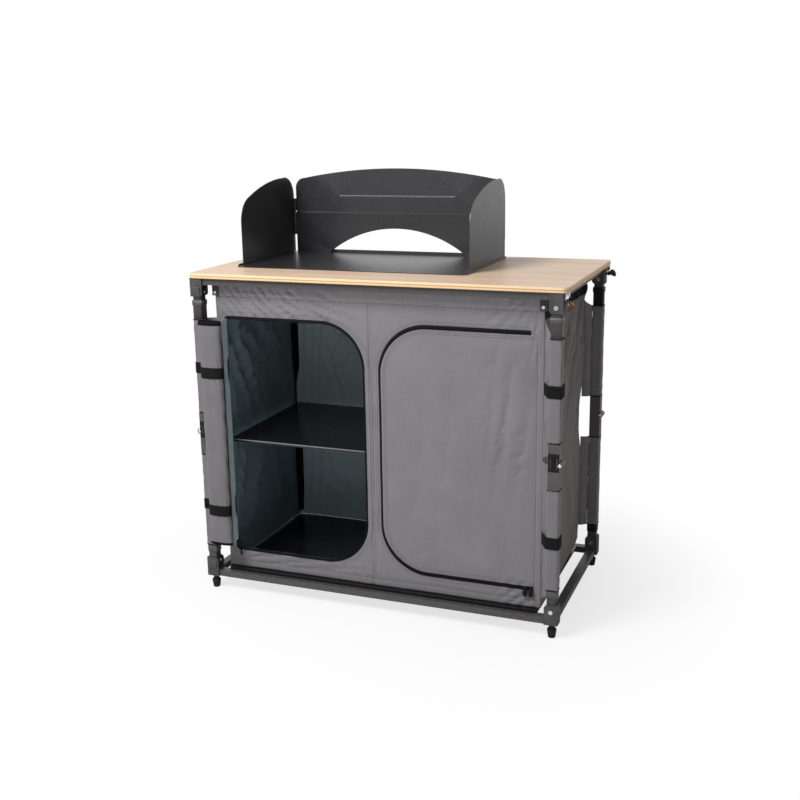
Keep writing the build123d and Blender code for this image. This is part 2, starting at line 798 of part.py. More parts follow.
with BuildPart() as cloth_hangers:
    rail_back_y = leg_y - rail_width / 2
    hanger_front = cupboard_y + hanger_gap + hanger_depth
    hanger_middle_y = cupboard_y + hanger_gap + hanger_depth / 2
    hanger_low_z = high_rail_low - hanger_drop
    rivet_z = hanger_low_z + hanger_width / 2
    for x in (-hanger_x, hanger_x):
        for side in (-1, 1):
            with Locations((x, side * hanger_middle_y, (hanger_low_z + cupboard_top) / 2)):
                Box(hanger_width, hanger_depth, cupboard_top - hanger_low_z)
            with Locations((x, side * (hanger_front + rail_back_y) / 2, (high_rail_low + cupboard_top) / 2)):
                Box(hanger_width, rail_back_y - hanger_front, hem_height)
            with Locations(along_y(x, side * (hanger_front + hanger_rivet_height / 2), rivet_z)):
                Cylinder(hanger_rivet_radius, hanger_rivet_height)
cloth_hangers.part.label = "cloth_hangers"
export_step(cloth_hangers.part, "parts/cloth_hangers.step")

with BuildPart() as tabletop_catches:
    rail_inner_x = -leg_x + rail_width / 2 + hook_gap
    hook_low_z = high_rail_low - hook_gap - hook_thickness
    for y in (-hook_y, hook_y):
        with Locations((rail_inner_x, y, hook_low_z)):
            Box(
                hook_thickness,
                hook_length,
                table_underside - hook_low_z,
                align=(Align.MIN, Align.CENTER, Align.MIN),
            )
        with Locations((rail_inner_x + hook_thickness, y, hook_low_z)):
            Box(
                rail_width / 2 + hook_thickness,
                hook_length,
                hook_thickness,
                align=(Align.MAX, Align.CENTER, Align.MIN),
            )
    bail_x = leg_x + bracket_outer + bail_reach
    for y_side in (-1, 1):
        with Locations((bail_x, y_side * leg_y, table_underside - keeper_thickness)):
            Box(
                3 * bail_thickness,
                bail_top_width,
                keeper_thickness,
                align=(Align.MIN, Align.CENTER, Align.MIN),
            )
        bail_plane = Plane(
            origin=(bail_x, y_side * leg_y, table_underside), x_dir=(0, 1, 0), z_dir=(1, 0, 0)
        )
        with BuildSketch(bail_plane):
            with BuildLine():
                Polyline(
                    (-bail_top_width / 2, 0),
                    (-bail_low_width / 2, -bail_height),
                    (-bail_notch_width / 2, -bail_height),
                    (0, bail_notch_height - bail_height),
                    (bail_notch_width / 2, -bail_height),
                    (bail_low_width / 2, -bail_height),
                    (bail_top_width / 2, 0),
                    close=True,
                )
            make_face()
        extrude(amount=bail_thickness)
tabletop_catches.part.label = "tabletop_catches"
export_step(tabletop_catches.part, "parts/tabletop_catches.step")


def toggle_lever(y_side):
    """An oval toggle lever, closed, with two cheeks and its pin through the bracket's lug."""
    y = y_side * leg_y
    face_x = leg_x + bracket_outer + lug_reach + lever_cheek_gap
    plate_z = lever_pin_z + lever_top - lever_height / 2
    cheek_y = lug_width / 2 + lever_cheek_gap + lever_cheek / 2
    cheek_low_x = lever_pin_x - lever_pin_radius
    with BuildPart() as lever:
        lever_plane = Plane(origin=(face_x, y, plate_z), x_dir=(0, 1, 0), z_dir=(1, 0, 0))
        with BuildSketch(lever_plane):
            Ellipse(lever_width / 2, lever_height / 2)
        extrude(amount=lever_thickness)
        for side in (-1, 1):
            with Locations((cheek_low_x, y + side * cheek_y, lever_pin_z + lever_top)):
                Box(
                    face_x - cheek_low_x + lever_thickness / 2,
                    lever_cheek,
                    lever_cheek_height,
                    align=(Align.MIN, Align.CENTER, Align.MAX),
                )
        with Locations(along_y(lever_pin_x, y, lever_pin_z)):
            Cylinder(lever_pin_radius, 2 * (cheek_y + lever_cheek / 2))
    return lever.part


front_lever = toggle_lever(-1)
save(front_lever, "toggle_lever_front")
back_pin = Axis((lever_pin_x, leg_y, lever_pin_z), (0, 1, 0))
back_lever = toggle_lever(1).rotate(back_pin, -lever_open_angle)
save(back_lever, "toggle_lever_back")

# Windshield: base plate, back screen and two hinged wings
with BuildPart() as screen_plate:
    plate_half = screen_half_width + plate_margin
    plate_middle_y = (plate_rear_y + plate_front_y) / 2
    with BuildSketch(Plane((screen_x, plate_middle_y, table_height))):
        RectangleRounded(2 * plate_half, plate_depth, plate_corner_radius)
    extrude(amount=plate_thickness)
    rim_length = plate_depth - 2 * plate_corner_radius
    for side in (-1, 1):
        with Locations((screen_x + side * (plate_half - plate_rim / 2), plate_middle_y, table_height)):
            Box(
                plate_rim,
                rim_length,
                plate_rim_height,
                align=(Align.CENTER, Align.CENTER, Align.MIN),
            )
    with Locations((screen_x, plate_rear_y - plate_rim / 2, table_height)):
        Box(
            2 * (plate_half - plate_corner_radius),
            plate_rim,
            plate_rear_rim_height,
            align=(Align.CENTER, Align.CENTER, Align.MIN),
        )
screen_plate.part.label = "screen_plate"
export_step(screen_plate.part, "parts/screen_plate.step")


def knuckle_bands():
    """Heights of the three knuckles of each screen hinge, above the plate."""
    band = (hinge_high - hinge_low) / 3
    return [(hinge_low + index * band, hinge_low + (index + 1) * band) for index in range(3)]


corner_bend = screen_corner * (1 - cos(radians(45)))
with BuildPart() as back_screen:
    with BuildSketch(Plane(origin=(screen_x, 0, plate_top), x_dir=(0, 1, 0), z_dir=(1, 0, 0))):
        low_front = screen_rear_y - screen_sheet - joggle_step
        with BuildLine():
            Polyline(
                (low_front, 0),
                (low_front + screen_sheet, 0),
                (low_front + screen_sheet, joggle_height),
                (screen_rear_y, joggle_height + joggle_step),
                (screen_rear_y, screen_height),
                (screen_rear_y - screen_sheet, screen_height),
                (screen_rear_y - screen_sheet, joggle_height + joggle_step),
                (low_front, joggle_height),
                close=True,
            )
        make_face()
    extrude(amount=screen_edge, both=True)
    with BuildSketch(side_plane(screen_x, screen_rear_y, plate_top)):
        shoulder_x = screen_edge - screen_corner
        with BuildLine():
            Line((-screen_edge, 0), (-screen_edge, screen_side_height))
            ThreePointArc(
                (-screen_edge, screen_side_height),
                (-screen_edge + corner_bend, screen_shoulder_height - corner_bend),
                (-shoulder_x, screen_shoulder_height),
            )
            ThreePointArc(
                (-shoulder_x, screen_shoulder_height),
                (0, screen_height),
                (shoulder_x, screen_shoulder_height),
            )
            ThreePointArc(
                (shoulder_x, screen_shoulder_height),
                (screen_edge - corner_bend, screen_shoulder_height - corner_bend),
                (screen_edge, screen_side_height),
            )
            Line((screen_edge, screen_side_height), (screen_edge, 0))
            Line((screen_edge, 0), (arch_half_width, 0))
            ThreePointArc((arch_half_width, 0), (0, arch_height), (-arch_half_width, 0))
            Line((-arch_half_width, 0), (-screen_edge, 0))
        make_face()
        with Locations((0, slot_height)):
            SlotOverall(slot_length, slot_width, mode=Mode.SUBTRACT)
    extrude(amount=4 * joggle_step, both=True, mode=Mode.INTERSECT)
    for side, hinge_y in ((-1, left_hinge_y), (1, right_hinge_y)):
        hinge_x = screen_x + side * hinge_reach
        leaf_low_y = hinge_y - screen_sheet / 2
        for low, high in (knuckle_bands()[0], knuckle_bands()[2]):
            middle = plate_top + (low + high) / 2
            height = high - low - knuckle_gap
            leaf_x = screen_x + side * (screen_half_width - screen_sheet / 2)
            with Locations((leaf_x, (leaf_low_y + screen_rear_y) / 2, middle)):
                Box(screen_sheet, screen_rear_y - leaf_low_y, height)
            with Locations((hinge_x, hinge_y, middle)):
                Cylinder(hinge_radius, height)
        with Locations((hinge_x, hinge_y, plate_top + (hinge_low + hinge_high) / 2)):
            Cylinder(hinge_pin_radius, hinge_high - hinge_low)
back_screen.part.label = "back_screen"
export_step(back_screen.part, "parts/back_screen.step")


def screen_wing(side, hinge_y):
    """A side wing of sheet metal, hinged on the back screen, with its middle knuckle."""
    hinge_x = screen_x + side * hinge_reach
    outer_x = hinge_x + side * hinge_radius
    leaf_x = outer_x - side * screen_sheet / 2
    rear = screen_sheet / 2
    mid_knuckle = knuckle_bands()[1]
    with BuildPart() as wing:
        wing_plane = Plane(origin=(leaf_x, hinge_y, plate_top), x_dir=(0, -1, 0), z_dir=(-1, 0, 0))
        with BuildSketch(wing_plane):
            with BuildLine():
                Line((rear, wing_gap), (wing_length, wing_gap))
                Line((wing_length, wing_gap), (wing_length, wing_front_height))
                front_bend = (wing_length - wing_shoulder) / 4
                front_middle = (wing_front_height + wing_shoulder_height) / 2
                ThreePointArc(
                    (wing_length, wing_front_height),
                    (wing_length - front_bend, front_middle + front_bend / 2),
                    (wing_shoulder, wing_shoulder_height),
                )
                crest_sag = (wing_crest_height - wing_shoulder_height) / 4
                ThreePointArc(
                    (wing_shoulder, wing_shoulder_height),
                    (
                        (wing_shoulder + wing_crest) / 2,
                        (wing_shoulder_height + wing_crest_height) / 2 + crest_sag,
                    ),
                    (wing_crest, wing_crest_height),
                )
                rear_bend = (wing_crest - rear) / 4
                ThreePointArc(
                    (wing_crest, wing_crest_height),
                    (rear + rear_bend, wing_crest_height - rear_bend),
                    (rear, wing_rear_height),
                )
                Line((rear, wing_rear_height), (rear, wing_gap))
            make_face()
        extrude(amount=screen_sheet / 2, both=True)
        for low, high in (knuckle_bands()[0], knuckle_bands()[2]):
            with Locations((hinge_x, hinge_y, plate_top + (low + high) / 2)):
                relief = high - low + knuckle_gap
                Cylinder(hinge_radius + hinge_clearance, relief, mode=Mode.SUBTRACT)
        middle = plate_top + (mid_knuckle[0] + mid_knuckle[1]) / 2
        height = mid_knuckle[1] - mid_knuckle[0] - knuckle_gap
        with Locations((hinge_x, hinge_y, middle)):
            Cylinder(hinge_radius, height)
            Cylinder(hinge_pin_radius + running_fit, 2 * height, mode=Mode.SUBTRACT)
    return wing.part


save(screen_wing(-1, left_hinge_y), "wing_left")
save(screen_wing(1, right_hinge_y), "wing_right")
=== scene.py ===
from math import cos, exp, hypot, pi, radians, sin, sqrt, tanh

import bmesh
import bpy
from mathutils import Matrix, Vector, noise


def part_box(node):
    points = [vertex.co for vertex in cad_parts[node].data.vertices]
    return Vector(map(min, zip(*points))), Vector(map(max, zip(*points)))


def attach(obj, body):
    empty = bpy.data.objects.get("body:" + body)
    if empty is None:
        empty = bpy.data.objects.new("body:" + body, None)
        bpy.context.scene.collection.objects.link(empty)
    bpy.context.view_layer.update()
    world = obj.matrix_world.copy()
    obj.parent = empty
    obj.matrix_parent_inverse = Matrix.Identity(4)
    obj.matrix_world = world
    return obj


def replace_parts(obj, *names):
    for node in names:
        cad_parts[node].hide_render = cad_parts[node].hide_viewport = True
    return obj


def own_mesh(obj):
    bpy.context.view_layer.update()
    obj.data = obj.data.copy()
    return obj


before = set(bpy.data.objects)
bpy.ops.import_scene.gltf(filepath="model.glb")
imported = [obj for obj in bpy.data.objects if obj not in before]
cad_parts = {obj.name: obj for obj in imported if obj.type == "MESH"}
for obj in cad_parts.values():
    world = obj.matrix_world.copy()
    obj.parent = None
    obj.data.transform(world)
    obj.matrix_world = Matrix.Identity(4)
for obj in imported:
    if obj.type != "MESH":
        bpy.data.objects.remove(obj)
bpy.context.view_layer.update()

# Everything is in metres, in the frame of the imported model: origin on the ground between the
# four feet, +X right, +Y back, +Z up.

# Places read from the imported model
cloth_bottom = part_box("cloth_cupboard")[0].z + 0.001
cloth_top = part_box("top_rails")[0].z + 0.006
tape_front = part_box("zip_tapes")[0].y
shelf_low, shelf_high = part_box("shelf_board")
board_low, board_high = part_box("base_board")
roll_low, roll_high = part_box("rolled_door")
top_low, top_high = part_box("tabletop")

# Cloth cupboard
cupboard_x = 0.402
cupboard_y = 0.200
cloth_thickness = 0.0013
hem_seam_z = 0.743          # stitching of the top hem of the front
bottom_seam_z = 0.073
snap_reach = 0.0022         # how near a seam or an edge a grid point jumps onto it
side_grey_top = 0.722       # above it the side walls carry a black band

# Doorways: their zip tape, the radii of their corners and the places of their edges
tape_width = 0.0095
doorway_radius = 0.110
doorway_small_radius = 0.008
left_edge = -0.380
left_inner = -0.021
right_inner = 0.021
right_hinge = 0.388
doorway_low = 0.106
doorway_high = 0.689
doorway_middle = (doorway_low + doorway_high) / 2

# Legs and their sleeves
leg_x = 0.434
leg_y = 0.221
sleeve_half = 0.0136
lower_sleeve = (0.116, 0.354)
upper_sleeve = (0.459, 0.690)

# The legs by name, each with its side along X and along Y
leg_sides = {
    "front_left": (-1, -1),
    "front_right": (1, -1),
    "back_left": (-1, 1),
    "back_right": (1, 1),
}

# Camera of the photograph
camera_place = (0.9597, -2.4836, 1.1482)
camera_turn = -21.3686      # degrees from +Y, seen from above
camera_tilt = 14.3411       # degrees below the horizon
camera_roll = -0.9739
camera_lens = 49.8


def rgb(red, green, blue):
    """A colour as a linear RGBA value from screen values of 0 to 255."""
    def linear(value):
        value /= 255
        return value / 12.92 if value <= 0.04045 else ((value + 0.055) / 1.055) ** 2.4
    return (linear(red), linear(green), linear(blue), 1)


# Materials


class Shader:
    """A material under construction: its nodes, made and joined by short calls."""

    def __init__(self, name, colour, roughness=0.5, metallic=0.0, specular=0.5):
        self.material = bpy.data.materials.new(name)
        self.material.use_nodes = True
        self.tree = self.material.node_tree
        self.surface = self.tree.nodes["Principled BSDF"]
        self.surface.inputs["Base Color"].default_value = colour
        self.surface.inputs["Roughness"].default_value = roughness
        self.surface.inputs["Metallic"].default_value = metallic
        self.surface.inputs["Specular IOR Level"].default_value = specular
        self.coordinates = self.add("ShaderNodeTexCoord")
        self.height = None

    def add(self, kind, **settings):
        node = self.tree.nodes.new(kind)
        for name, value in settings.items():
            setattr(node, name, value)
        return node

    def join(self, output, target):
        self.tree.links.new(output, target)

    def feed(self, value, socket):
        """Sets an input to a number or a colour, or joins an output to it."""
        if isinstance(value, (int, float, tuple)):
            socket.default_value = value
        else:
            self.join(value, socket)

    def total(self, *parts):
        """The sum of some outputs, each with its weight, held between 0 and 1."""
        result = 0.0
        for output, weight in parts:
            result = self.math("ADD", result, self.math("MULTIPLY", output, weight))
        return self.math("MINIMUM", result, 1.0)

    def space(self, source="Object", scale=(1, 1, 1), turn=(0, 0, 0)):
        mapping = self.add("ShaderNodeMapping")
        mapping.inputs["Scale"].default_value = scale
        mapping.inputs["Rotation"].default_value = [radians(angle) for angle in turn]
        self.join(self.coordinates.outputs[source], mapping.inputs["Vector"])
        return mapping.outputs["Vector"]

    def noise(self, vector, scale, detail=3.0, rough=0.55):
        node = self.add("ShaderNodeTexNoise")
        node.inputs["Scale"].default_value = scale
        node.inputs["Detail"].default_value = detail
        node.inputs["Roughness"].default_value = rough
        self.join(vector, node.inputs["Vector"])
        return node.outputs["Fac"]

    def wave(self, vector, scale, distortion=0.0, direction="X", profile="SIN"):
        node = self.add("ShaderNodeTexWave", bands_direction=direction, wave_profile=profile)
        node.inputs["Scale"].default_value = scale
        node.inputs["Distortion"].default_value = distortion
        self.join(vector, node.inputs["Vector"])
        return node.outputs["Fac"]

    def math(self, operation, first, second=None, clamp=False):
        node = self.add("ShaderNodeMath", operation=operation, use_clamp=clamp)
        for index, value in enumerate((first, second)):
            if value is not None:
                self.feed(value, node.inputs[index])
        return node.outputs["Value"]

    def ramp(self, factor, *stops):
        node = self.add("ShaderNodeValToRGB")
        elements = node.color_ramp.elements
        while len(elements) < len(stops):
            elements.new(0.5)
        for element, (place, colour) in zip(elements, stops):
            element.position = place
            element.color = colour
        self.join(factor, node.inputs["Fac"])
        return node.outputs["Color"]

    def mix(self, factor, first, second, blend="MIX"):
        node = self.add("ShaderNodeMix", data_type="RGBA", blend_type=blend)
        for socket, value in (("Factor", factor), (6, first), (7, second)):
            self.feed(value, node.inputs[socket])
        return node.outputs[2]

    def bump(self, height, strength, distance):
        node = self.add("ShaderNodeBump")
        node.inputs["Strength"].default_value = strength
        node.inputs["Distance"].default_value = distance
        self.join(height, node.inputs["Height"])
        if self.height is not None:
            self.join(self.height, node.inputs["Normal"])
        self.height = node.outputs["Normal"]
        self.join(self.height, self.surface.inputs["Normal"])

    def colour(self, output):
        self.join(output, self.surface.inputs["Base Color"])

    def roughness(self, output, low, high):
        node = self.add("ShaderNodeMapRange")
        node.inputs["To Min"].default_value = low
        node.inputs["To Max"].default_value = high
        self.join(output, node.inputs["Value"])
        self.join(node.outputs["Result"], self.surface.inputs["Roughness"])


def cloth_material(name, light, dark, thread=0.0007, slub=0.5, sheen=0.12, rough=0.78):
    """Woven polyester: crossing threads, longer slubs both ways and soft patches of tone."""
    shader = Shader(name, light, rough, specular=0.12)
    flat = shader.space("UV")
    across = shader.wave(flat, 1 / thread / 6.28, 0.4, "X")
    along = shader.wave(flat, 1 / thread / 6.28, 0.4, "Y")
    weave = shader.math("MULTIPLY", across, along)
    long_x = shader.noise(shader.space("UV", (18, 620, 1)), 1.0, 2.0)
    long_y = shader.noise(shader.space("UV", (620, 18, 1)), 1.0, 2.0)
    slubs = shader.math("MULTIPLY", shader.math("ADD", long_x, long_y), slub)
    patches = shader.noise(flat, 9.0, 2.0)
    tone = shader.total((slubs, 0.62), (patches, 0.38), (weave, 0.18))
    shader.colour(shader.ramp(tone, (0.25, dark), (0.75, light)))
    shader.bump(weave, 0.25, 0.00025)
    shader.bump(slubs, 0.18, 0.0003)
    shader.surface.inputs["Sheen Weight"].default_value = sheen
    shader.surface.inputs["Sheen Roughness"].default_value = 0.5
    return shader.material


def lining_material(name, light, dark):
    """Thin lining cloth: a coarser, smoother weave with little sheen."""
    return cloth_material(name, light, dark, thread=0.0008, slub=0.45, sheen=0.04, rough=0.6)


def webbing_material(name, light, dark):
    """Narrow woven tape: ribs across it and a fine herringbone."""
    shader = Shader(name, light, 0.8, specular=0.08)
    flat = shader.space("UV")
    ribs = shader.wave(flat, 1 / 0.0012 / 6.28, 0.2, "X")
    herringbone = shader.wave(shader.space("UV", (1, 1, 1), (0, 0, 45)), 1 / 0.0009 / 6.28, 0.2, "X")
    weave = shader.math("MULTIPLY", ribs, herringbone)
    shader.colour(shader.ramp(weave, (0.1, dark), (0.9, light)))
    shader.bump(weave, 0.5, 0.0004)
    return shader.material


def coated_metal(name, light, dark, rough=(0.32, 0.46), grain=0.25, wear=None, specular=0.35):
    """Powder coat: a fine orange-peel surface, faint dust in the tone and rubbed edges."""
    shader = Shader(name, light, rough[0], specular=specular)
    place = shader.space("Object")
    peel = shader.noise(place, 900.0, 2.0)
    clouds = shader.noise(place, 14.0, 4.0)
    base = shader.ramp(clouds, (0.3, dark), (0.7, light))
    if wear:
        edge = shader.add("ShaderNodeNewGeometry").outputs["Pointiness"]
        spots = shader.noise(place, 160.0, 3.0)
        rubbed = shader.math("MULTIPLY", shader.math("SUBTRACT", edge, 0.53), 9.0, clamp=True)
        rubbed = shader.math("MULTIPLY", rubbed, spots, clamp=True)
        base = shader.mix(rubbed, base, wear)
    shader.colour(base)
    shader.roughness(shader.noise(place, 45.0, 3.0), *rough)
    shader.bump(peel, grain, 0.0002)
    return shader.material


def moulded_plastic(name, light, dark, rough=(0.42, 0.6), grain=0.35, specular=0.3):
    """Injection-moulded plastic with a spark-eroded grain."""
    shader = Shader(name, light, rough[0], specular=specular)
    place = shader.space("Object")
    speckle = shader.noise(place, 1300.0, 2.0)
    clouds = shader.noise(place, 30.0, 3.0)
    shader.colour(shader.ramp(clouds, (0.35, dark), (0.65, light)))
    shader.roughness(shader.noise(place, 70.0, 2.0), *rough)
    shader.bump(speckle, grain, 0.00015)
    return shader.material


def bright_metal(name, light, dark, rough=(0.18, 0.34), scale=(1, 1, 1)):
    """Plated or brushed steel with fine scratches."""
    shader = Shader(name, light, rough[0], metallic=1.0)
    place = shader.space("Object", scale)
    scratches = shader.noise(place, 420.0, 5.0, 0.7)
    shader.colour(shader.ramp(scratches, (0.3, dark), (0.7, light)))
    shader.roughness(scratches, *rough)
    shader.bump(scratches, 0.12, 0.0001)
    return shader.material


def bamboo_material():
    """Bamboo laminate: narrow strips along X with knuckle marks, and two pale plies at the edge."""
    shader = Shader("bamboo", rgb(208, 180, 154), 0.42, specular=0.45)
    place = shader.space("Object")
    strip_width = 0.019
    split = shader.add("ShaderNodeSeparateXYZ")
    shader.join(place, split.inputs["Vector"])
    strip = shader.math("FLOOR", shader.math("DIVIDE", split.outputs["Y"], strip_width))
    combine = shader.add("ShaderNodeCombineXYZ")
    shader.join(strip, combine.inputs["Y"])
    tone = shader.add("ShaderNodeTexWhiteNoise", noise_dimensions="3D")
    shader.join(combine.outputs["Vector"], tone.inputs["Vector"])
    fibres = shader.noise(shader.space("Object", (5, 900, 5)), 1.0, 5.0, 0.65)
    fine = shader.noise(shader.space("Object", (26, 2600, 26)), 1.0, 3.0, 0.6)
    broad = shader.noise(shader.space("Object", (2.2, 34, 2)), 1.0, 3.0)
    factor = shader.total((fibres, 0.45), (fine, 0.25), (broad, 0.30), (tone.outputs["Value"], 0.12))
    top_colour = shader.ramp(
        factor, (0.36, rgb(178, 147, 120)), (0.52, rgb(204, 176, 150)), (0.72, rgb(222, 198, 174))
    )
    seam = shader.math("FRACT", shader.math("DIVIDE", split.outputs["Y"], strip_width))
    seam = shader.math("LESS_THAN", seam, 0.035)
    top_colour = shader.mix(shader.math("MULTIPLY", seam, 0.30), top_colour, rgb(150, 116, 88))
    above = shader.math("SUBTRACT", split.outputs["Z"], top_low.z)
    height = shader.math("DIVIDE", above, top_high.z - top_low.z)
    plies = shader.ramp(
        height,
        (0.0, rgb(214, 176, 132)),
        (0.30, rgb(238, 208, 166)),
        (0.47, rgb(186, 142, 98)),
        (0.53, rgb(186, 142, 98)),
        (0.66, rgb(248, 224, 186)),
        (1.0, rgb(230, 196, 152)),
    )
    edge_grain = shader.noise(shader.space("Object", (60, 60, 900)), 1.0, 4.0)
    plies = shader.mix(shader.math("MULTIPLY", edge_grain, 0.24), plies, rgb(184, 140, 98))
    normal = shader.add("ShaderNodeSeparateXYZ")
    shader.join(shader.add("ShaderNodeNewGeometry").outputs["True Normal"], normal.inputs["Vector"])
    facing = shader.math("GREATER_THAN", shader.math("ABSOLUTE", normal.outputs["Z"]), 0.6)
    shader.colour(shader.mix(facing, plies, top_colour))
    shader.roughness(fibres, 0.34, 0.52)
    shader.bump(fibres, 0.10, 0.0003)
    return shader.material


def board_material():
    """Coated black board with a soft gloss and a few faint scuffs."""
    shader = Shader("board_black", rgb(20, 21, 23), 0.22, specular=0.4)
    place = shader.space("Object")
    scuffs = shader.noise(shader.space("Object", (30, 300, 30)), 1.0, 4.0)
    shader.colour(shader.ramp(scuffs, (0.35, rgb(16, 17, 18)), (0.75, rgb(22, 23, 25))))
    shader.roughness(shader.noise(place, 9.0, 2.0), 0.22, 0.30)
    return shader.material


materials = {
    "bamboo": bamboo_material(),
    "frame": coated_metal(
        "frame_paint", rgb(46, 45, 46), rgb(35, 34, 36), (0.30, 0.46), 0.25, rgb(92, 90, 88)
    ),
    "bracket": moulded_plastic("bracket_plastic", rgb(74, 73, 74), rgb(60, 59, 61)),
    "housing": coated_metal("knee_housing_paint", rgb(84, 81, 80), rgb(70, 67, 67)),
    "latch": moulded_plastic("latch_plastic", rgb(26, 26, 27), rgb(17, 17, 18), specular=0.15),
    "rubber": moulded_plastic("foot_rubber", rgb(34, 34, 35), rgb(25, 25, 26), (0.6, 0.78), specular=0.15),
    "steel": bright_metal("rivet_steel", rgb(230, 230, 232), rgb(196, 196, 200)),
    "bronze": bright_metal("lever_bronze", rgb(112, 84, 72), rgb(72, 52, 46), (0.34, 0.5)),
    "screen": coated_metal(
        "screen_paint", rgb(28, 28, 30), rgb(20, 20, 22), (0.24, 0.36), 0.06, rgb(80, 80, 84), 0.5
    ),
    "board": board_material(),
    "cloth": cloth_material("grey_cloth", rgb(128, 126, 128), rgb(108, 106, 108)),
    # Side walls: the cloth's own warmer grey, made darker still by painted shade
    "side_cloth_with_painted_shade": cloth_material("grey_cloth_side_with_painted_shade", rgb(116, 109, 107), rgb(97, 91, 89)),
    "lining": lining_material("lining_cloth", rgb(116, 134, 144), rgb(92, 110, 120)),
    # Inner face of the back wall: a much lighter copy of the lining, painted light for the light through the
    # cloth and the doorway
    "back_lining_painted_light": lining_material("lining_cloth_back_painted_light", rgb(186, 204, 212), rgb(158, 176, 184)),
    # Top hem: a lighter copy of the grey cloth, painted light against the tabletop's shadow
    "hem_cloth_painted_light": cloth_material("grey_cloth_hem_painted_light", rgb(158, 155, 158), rgb(134, 131, 134)),
    # Rolled door: a darker copy of the grey cloth, painted shade
    "roll_cloth_painted_shade": cloth_material("grey_cloth_roll_painted_shade", rgb(116, 114, 116), rgb(96, 94, 96)),
    # Webs and sleeves: a slightly darker copy of the grey cloth, painted shade
    "web_cloth_painted_shade": cloth_material("grey_cloth_web_painted_shade", rgb(122, 120, 122), rgb(102, 100, 102)),
    # Neck of the roll: a lighter copy of the lining, painted light
    "neck_cloth_painted_light": lining_material("lining_cloth_painted_light", rgb(190, 210, 216), rgb(164, 184, 190)),
    "binding": webbing_material("black_binding", rgb(26, 25, 26), rgb(12, 12, 13)),
    "strap": webbing_material("black_strap", rgb(40, 38, 40), rgb(16, 16, 17)),
    "tape": webbing_material("zip_tape", rgb(32, 31, 33), rgb(18, 17, 19)),
    "thread": moulded_plastic("sewing_thread", rgb(58, 56, 58), rgb(44, 42, 44), (0.7, 0.8), specular=0.1),
    "zip": moulded_plastic("zip_teeth", rgb(26, 26, 27), rgb(15, 15, 16), (0.35, 0.5), specular=0.12),
    "piping": webbing_material("grey_piping", rgb(150, 152, 154), rgb(110, 112, 114)),
}


# Mesh helpers


def add_object(name, bm, material_names):
    """Turns a bmesh into an object with its materials."""
    mesh = bpy.data.meshes.new(name)
    bm.to_mesh(mesh)
    bm.free()
    for polygon in mesh.polygons:
        polygon.use_smooth = True
    for material in material_names:
        mesh.materials.append(materials[material])
    piece = bpy.data.objects.new(name, mesh)
    bpy.context.scene.collection.objects.link(piece)
    return piece


def add_solid(name, bm, material_names, smooth=True):
    """The same for a closed form, whose faces are turned outwards and may stay flat."""
    bmesh.ops.recalc_face_normals(bm, faces=bm.faces)
    piece = add_object(name, bm, material_names)
    for polygon in piece.data.polygons:
        polygon.use_smooth = smooth
    return piece


def grid_sheet(name, columns, rows, spot, point, material_names, snap=None, keep=None):
    """A sheet over a grid. spot(u, v) is a place in the uncut cloth, and point gives it in space.

    snap may move a place of the cloth, and keep says which faces stay, by their middles.
    """
    bm = bmesh.new()
    layer = bm.loops.layers.uv.new("cut")
    spots = {}
    verts = {}
    for column in range(columns + 1):
        for row in range(rows + 1):
            flat = spot(column / columns, row / rows)
            spots[column, row] = snap(*flat) if snap else flat
            verts[column, row] = bm.verts.new(point(*spots[column, row]))
    for column in range(columns):
        for row in range(rows):
            corners = [(column, row), (column + 1, row), (column + 1, row + 1), (column, row + 1)]
            middle = [sum(spots[corner][axis] for corner in corners) / 4 for axis in (0, 1)]
            if keep and not keep(*middle):
                continue
            face = bm.faces.new([verts[corner] for corner in corners])
            for loop, corner in zip(face.loops, corners):
                loop[layer].uv = spots[corner]
    loose = [vert for vert in bm.verts if not vert.link_faces]
    bmesh.ops.delete(bm, geom=loose, context="VERTS")
    return add_object(name, bm, material_names)


def skin(bm, rows, flat=None, closed=False, looped=False, material_of=None):
    """Faces between rows of vertices. flat(level, index) is a vertex's place in the uncut cloth.

    A closed row's end joins its start, and looped rows go round, from the last to the first.
    """
    layer = bm.loops.layers.uv.new("cut") if flat else None
    count = len(rows[0])
    for level in range(len(rows) if looped else len(rows) - 1):
        low = rows[level]
        high = rows[(level + 1) % len(rows)]
        for index in range(count if closed else count - 1):
            after = (index + 1) % count
            face = bm.faces.new([low[index], low[after], high[after], high[index]])
            if material_of:
                face.material_index = material_of(level)
            if flat:
                corners = ((level, index), (level, index + 1), (level + 1, index + 1), (level + 1, index))
                for loop, corner in zip(face.loops, corners):
                    loop[layer].uv = flat(*corner)


def prism(bm, outlines):
    """A closed form over outlines of as many points each, with its two ends filled."""
    loops = [[bm.verts.new(point) for point in outline] for outline in outlines]
    skin(bm, loops, closed=True)
    bm.faces.new(list(reversed(loops[0])))
    bm.faces.new(loops[-1])


def even_angles(count):
    """Angles at even steps once round a circle."""
    return [2 * pi * step / count for step in range(count)]


def lengths_along(points):
    """The distance of each point from the first, along the line."""
    lengths = [0.0]
    for start, end in zip(points, points[1:]):
        lengths.append(lengths[-1] + (end - start).length)
    return lengths


def square_to(ahead):
    """Two directions square to a line's direction and to each other."""
    side = ahead.cross(Vector((0, 1, 0)))
    if side.length < 0.1:
        side = ahead.cross(Vector((1, 0, 0)))
    side.normalize()
    return side, side.cross(ahead)


def apply_modifiers(piece):
    bpy.context.view_layer.objects.active = piece
    for other in bpy.context.selected_objects:
        other.select_set(False)
    piece.select_set(True)
    for modifier in list(piece.modifiers):
        bpy.ops.object.modifier_apply(modifier=modifier.name)


def thicken(piece, thickness=cloth_thickness, inner=None):
    """Gives a sheet its thickness inwards. The inner side may have its own material."""
    solidify = piece.modifiers.new("thickness", "SOLIDIFY")
    solidify.thickness = thickness
    solidify.offset = -1
    if inner is not None:
        solidify.material_offset = inner
        solidify.material_offset_rim = 0
    apply_modifiers(piece)


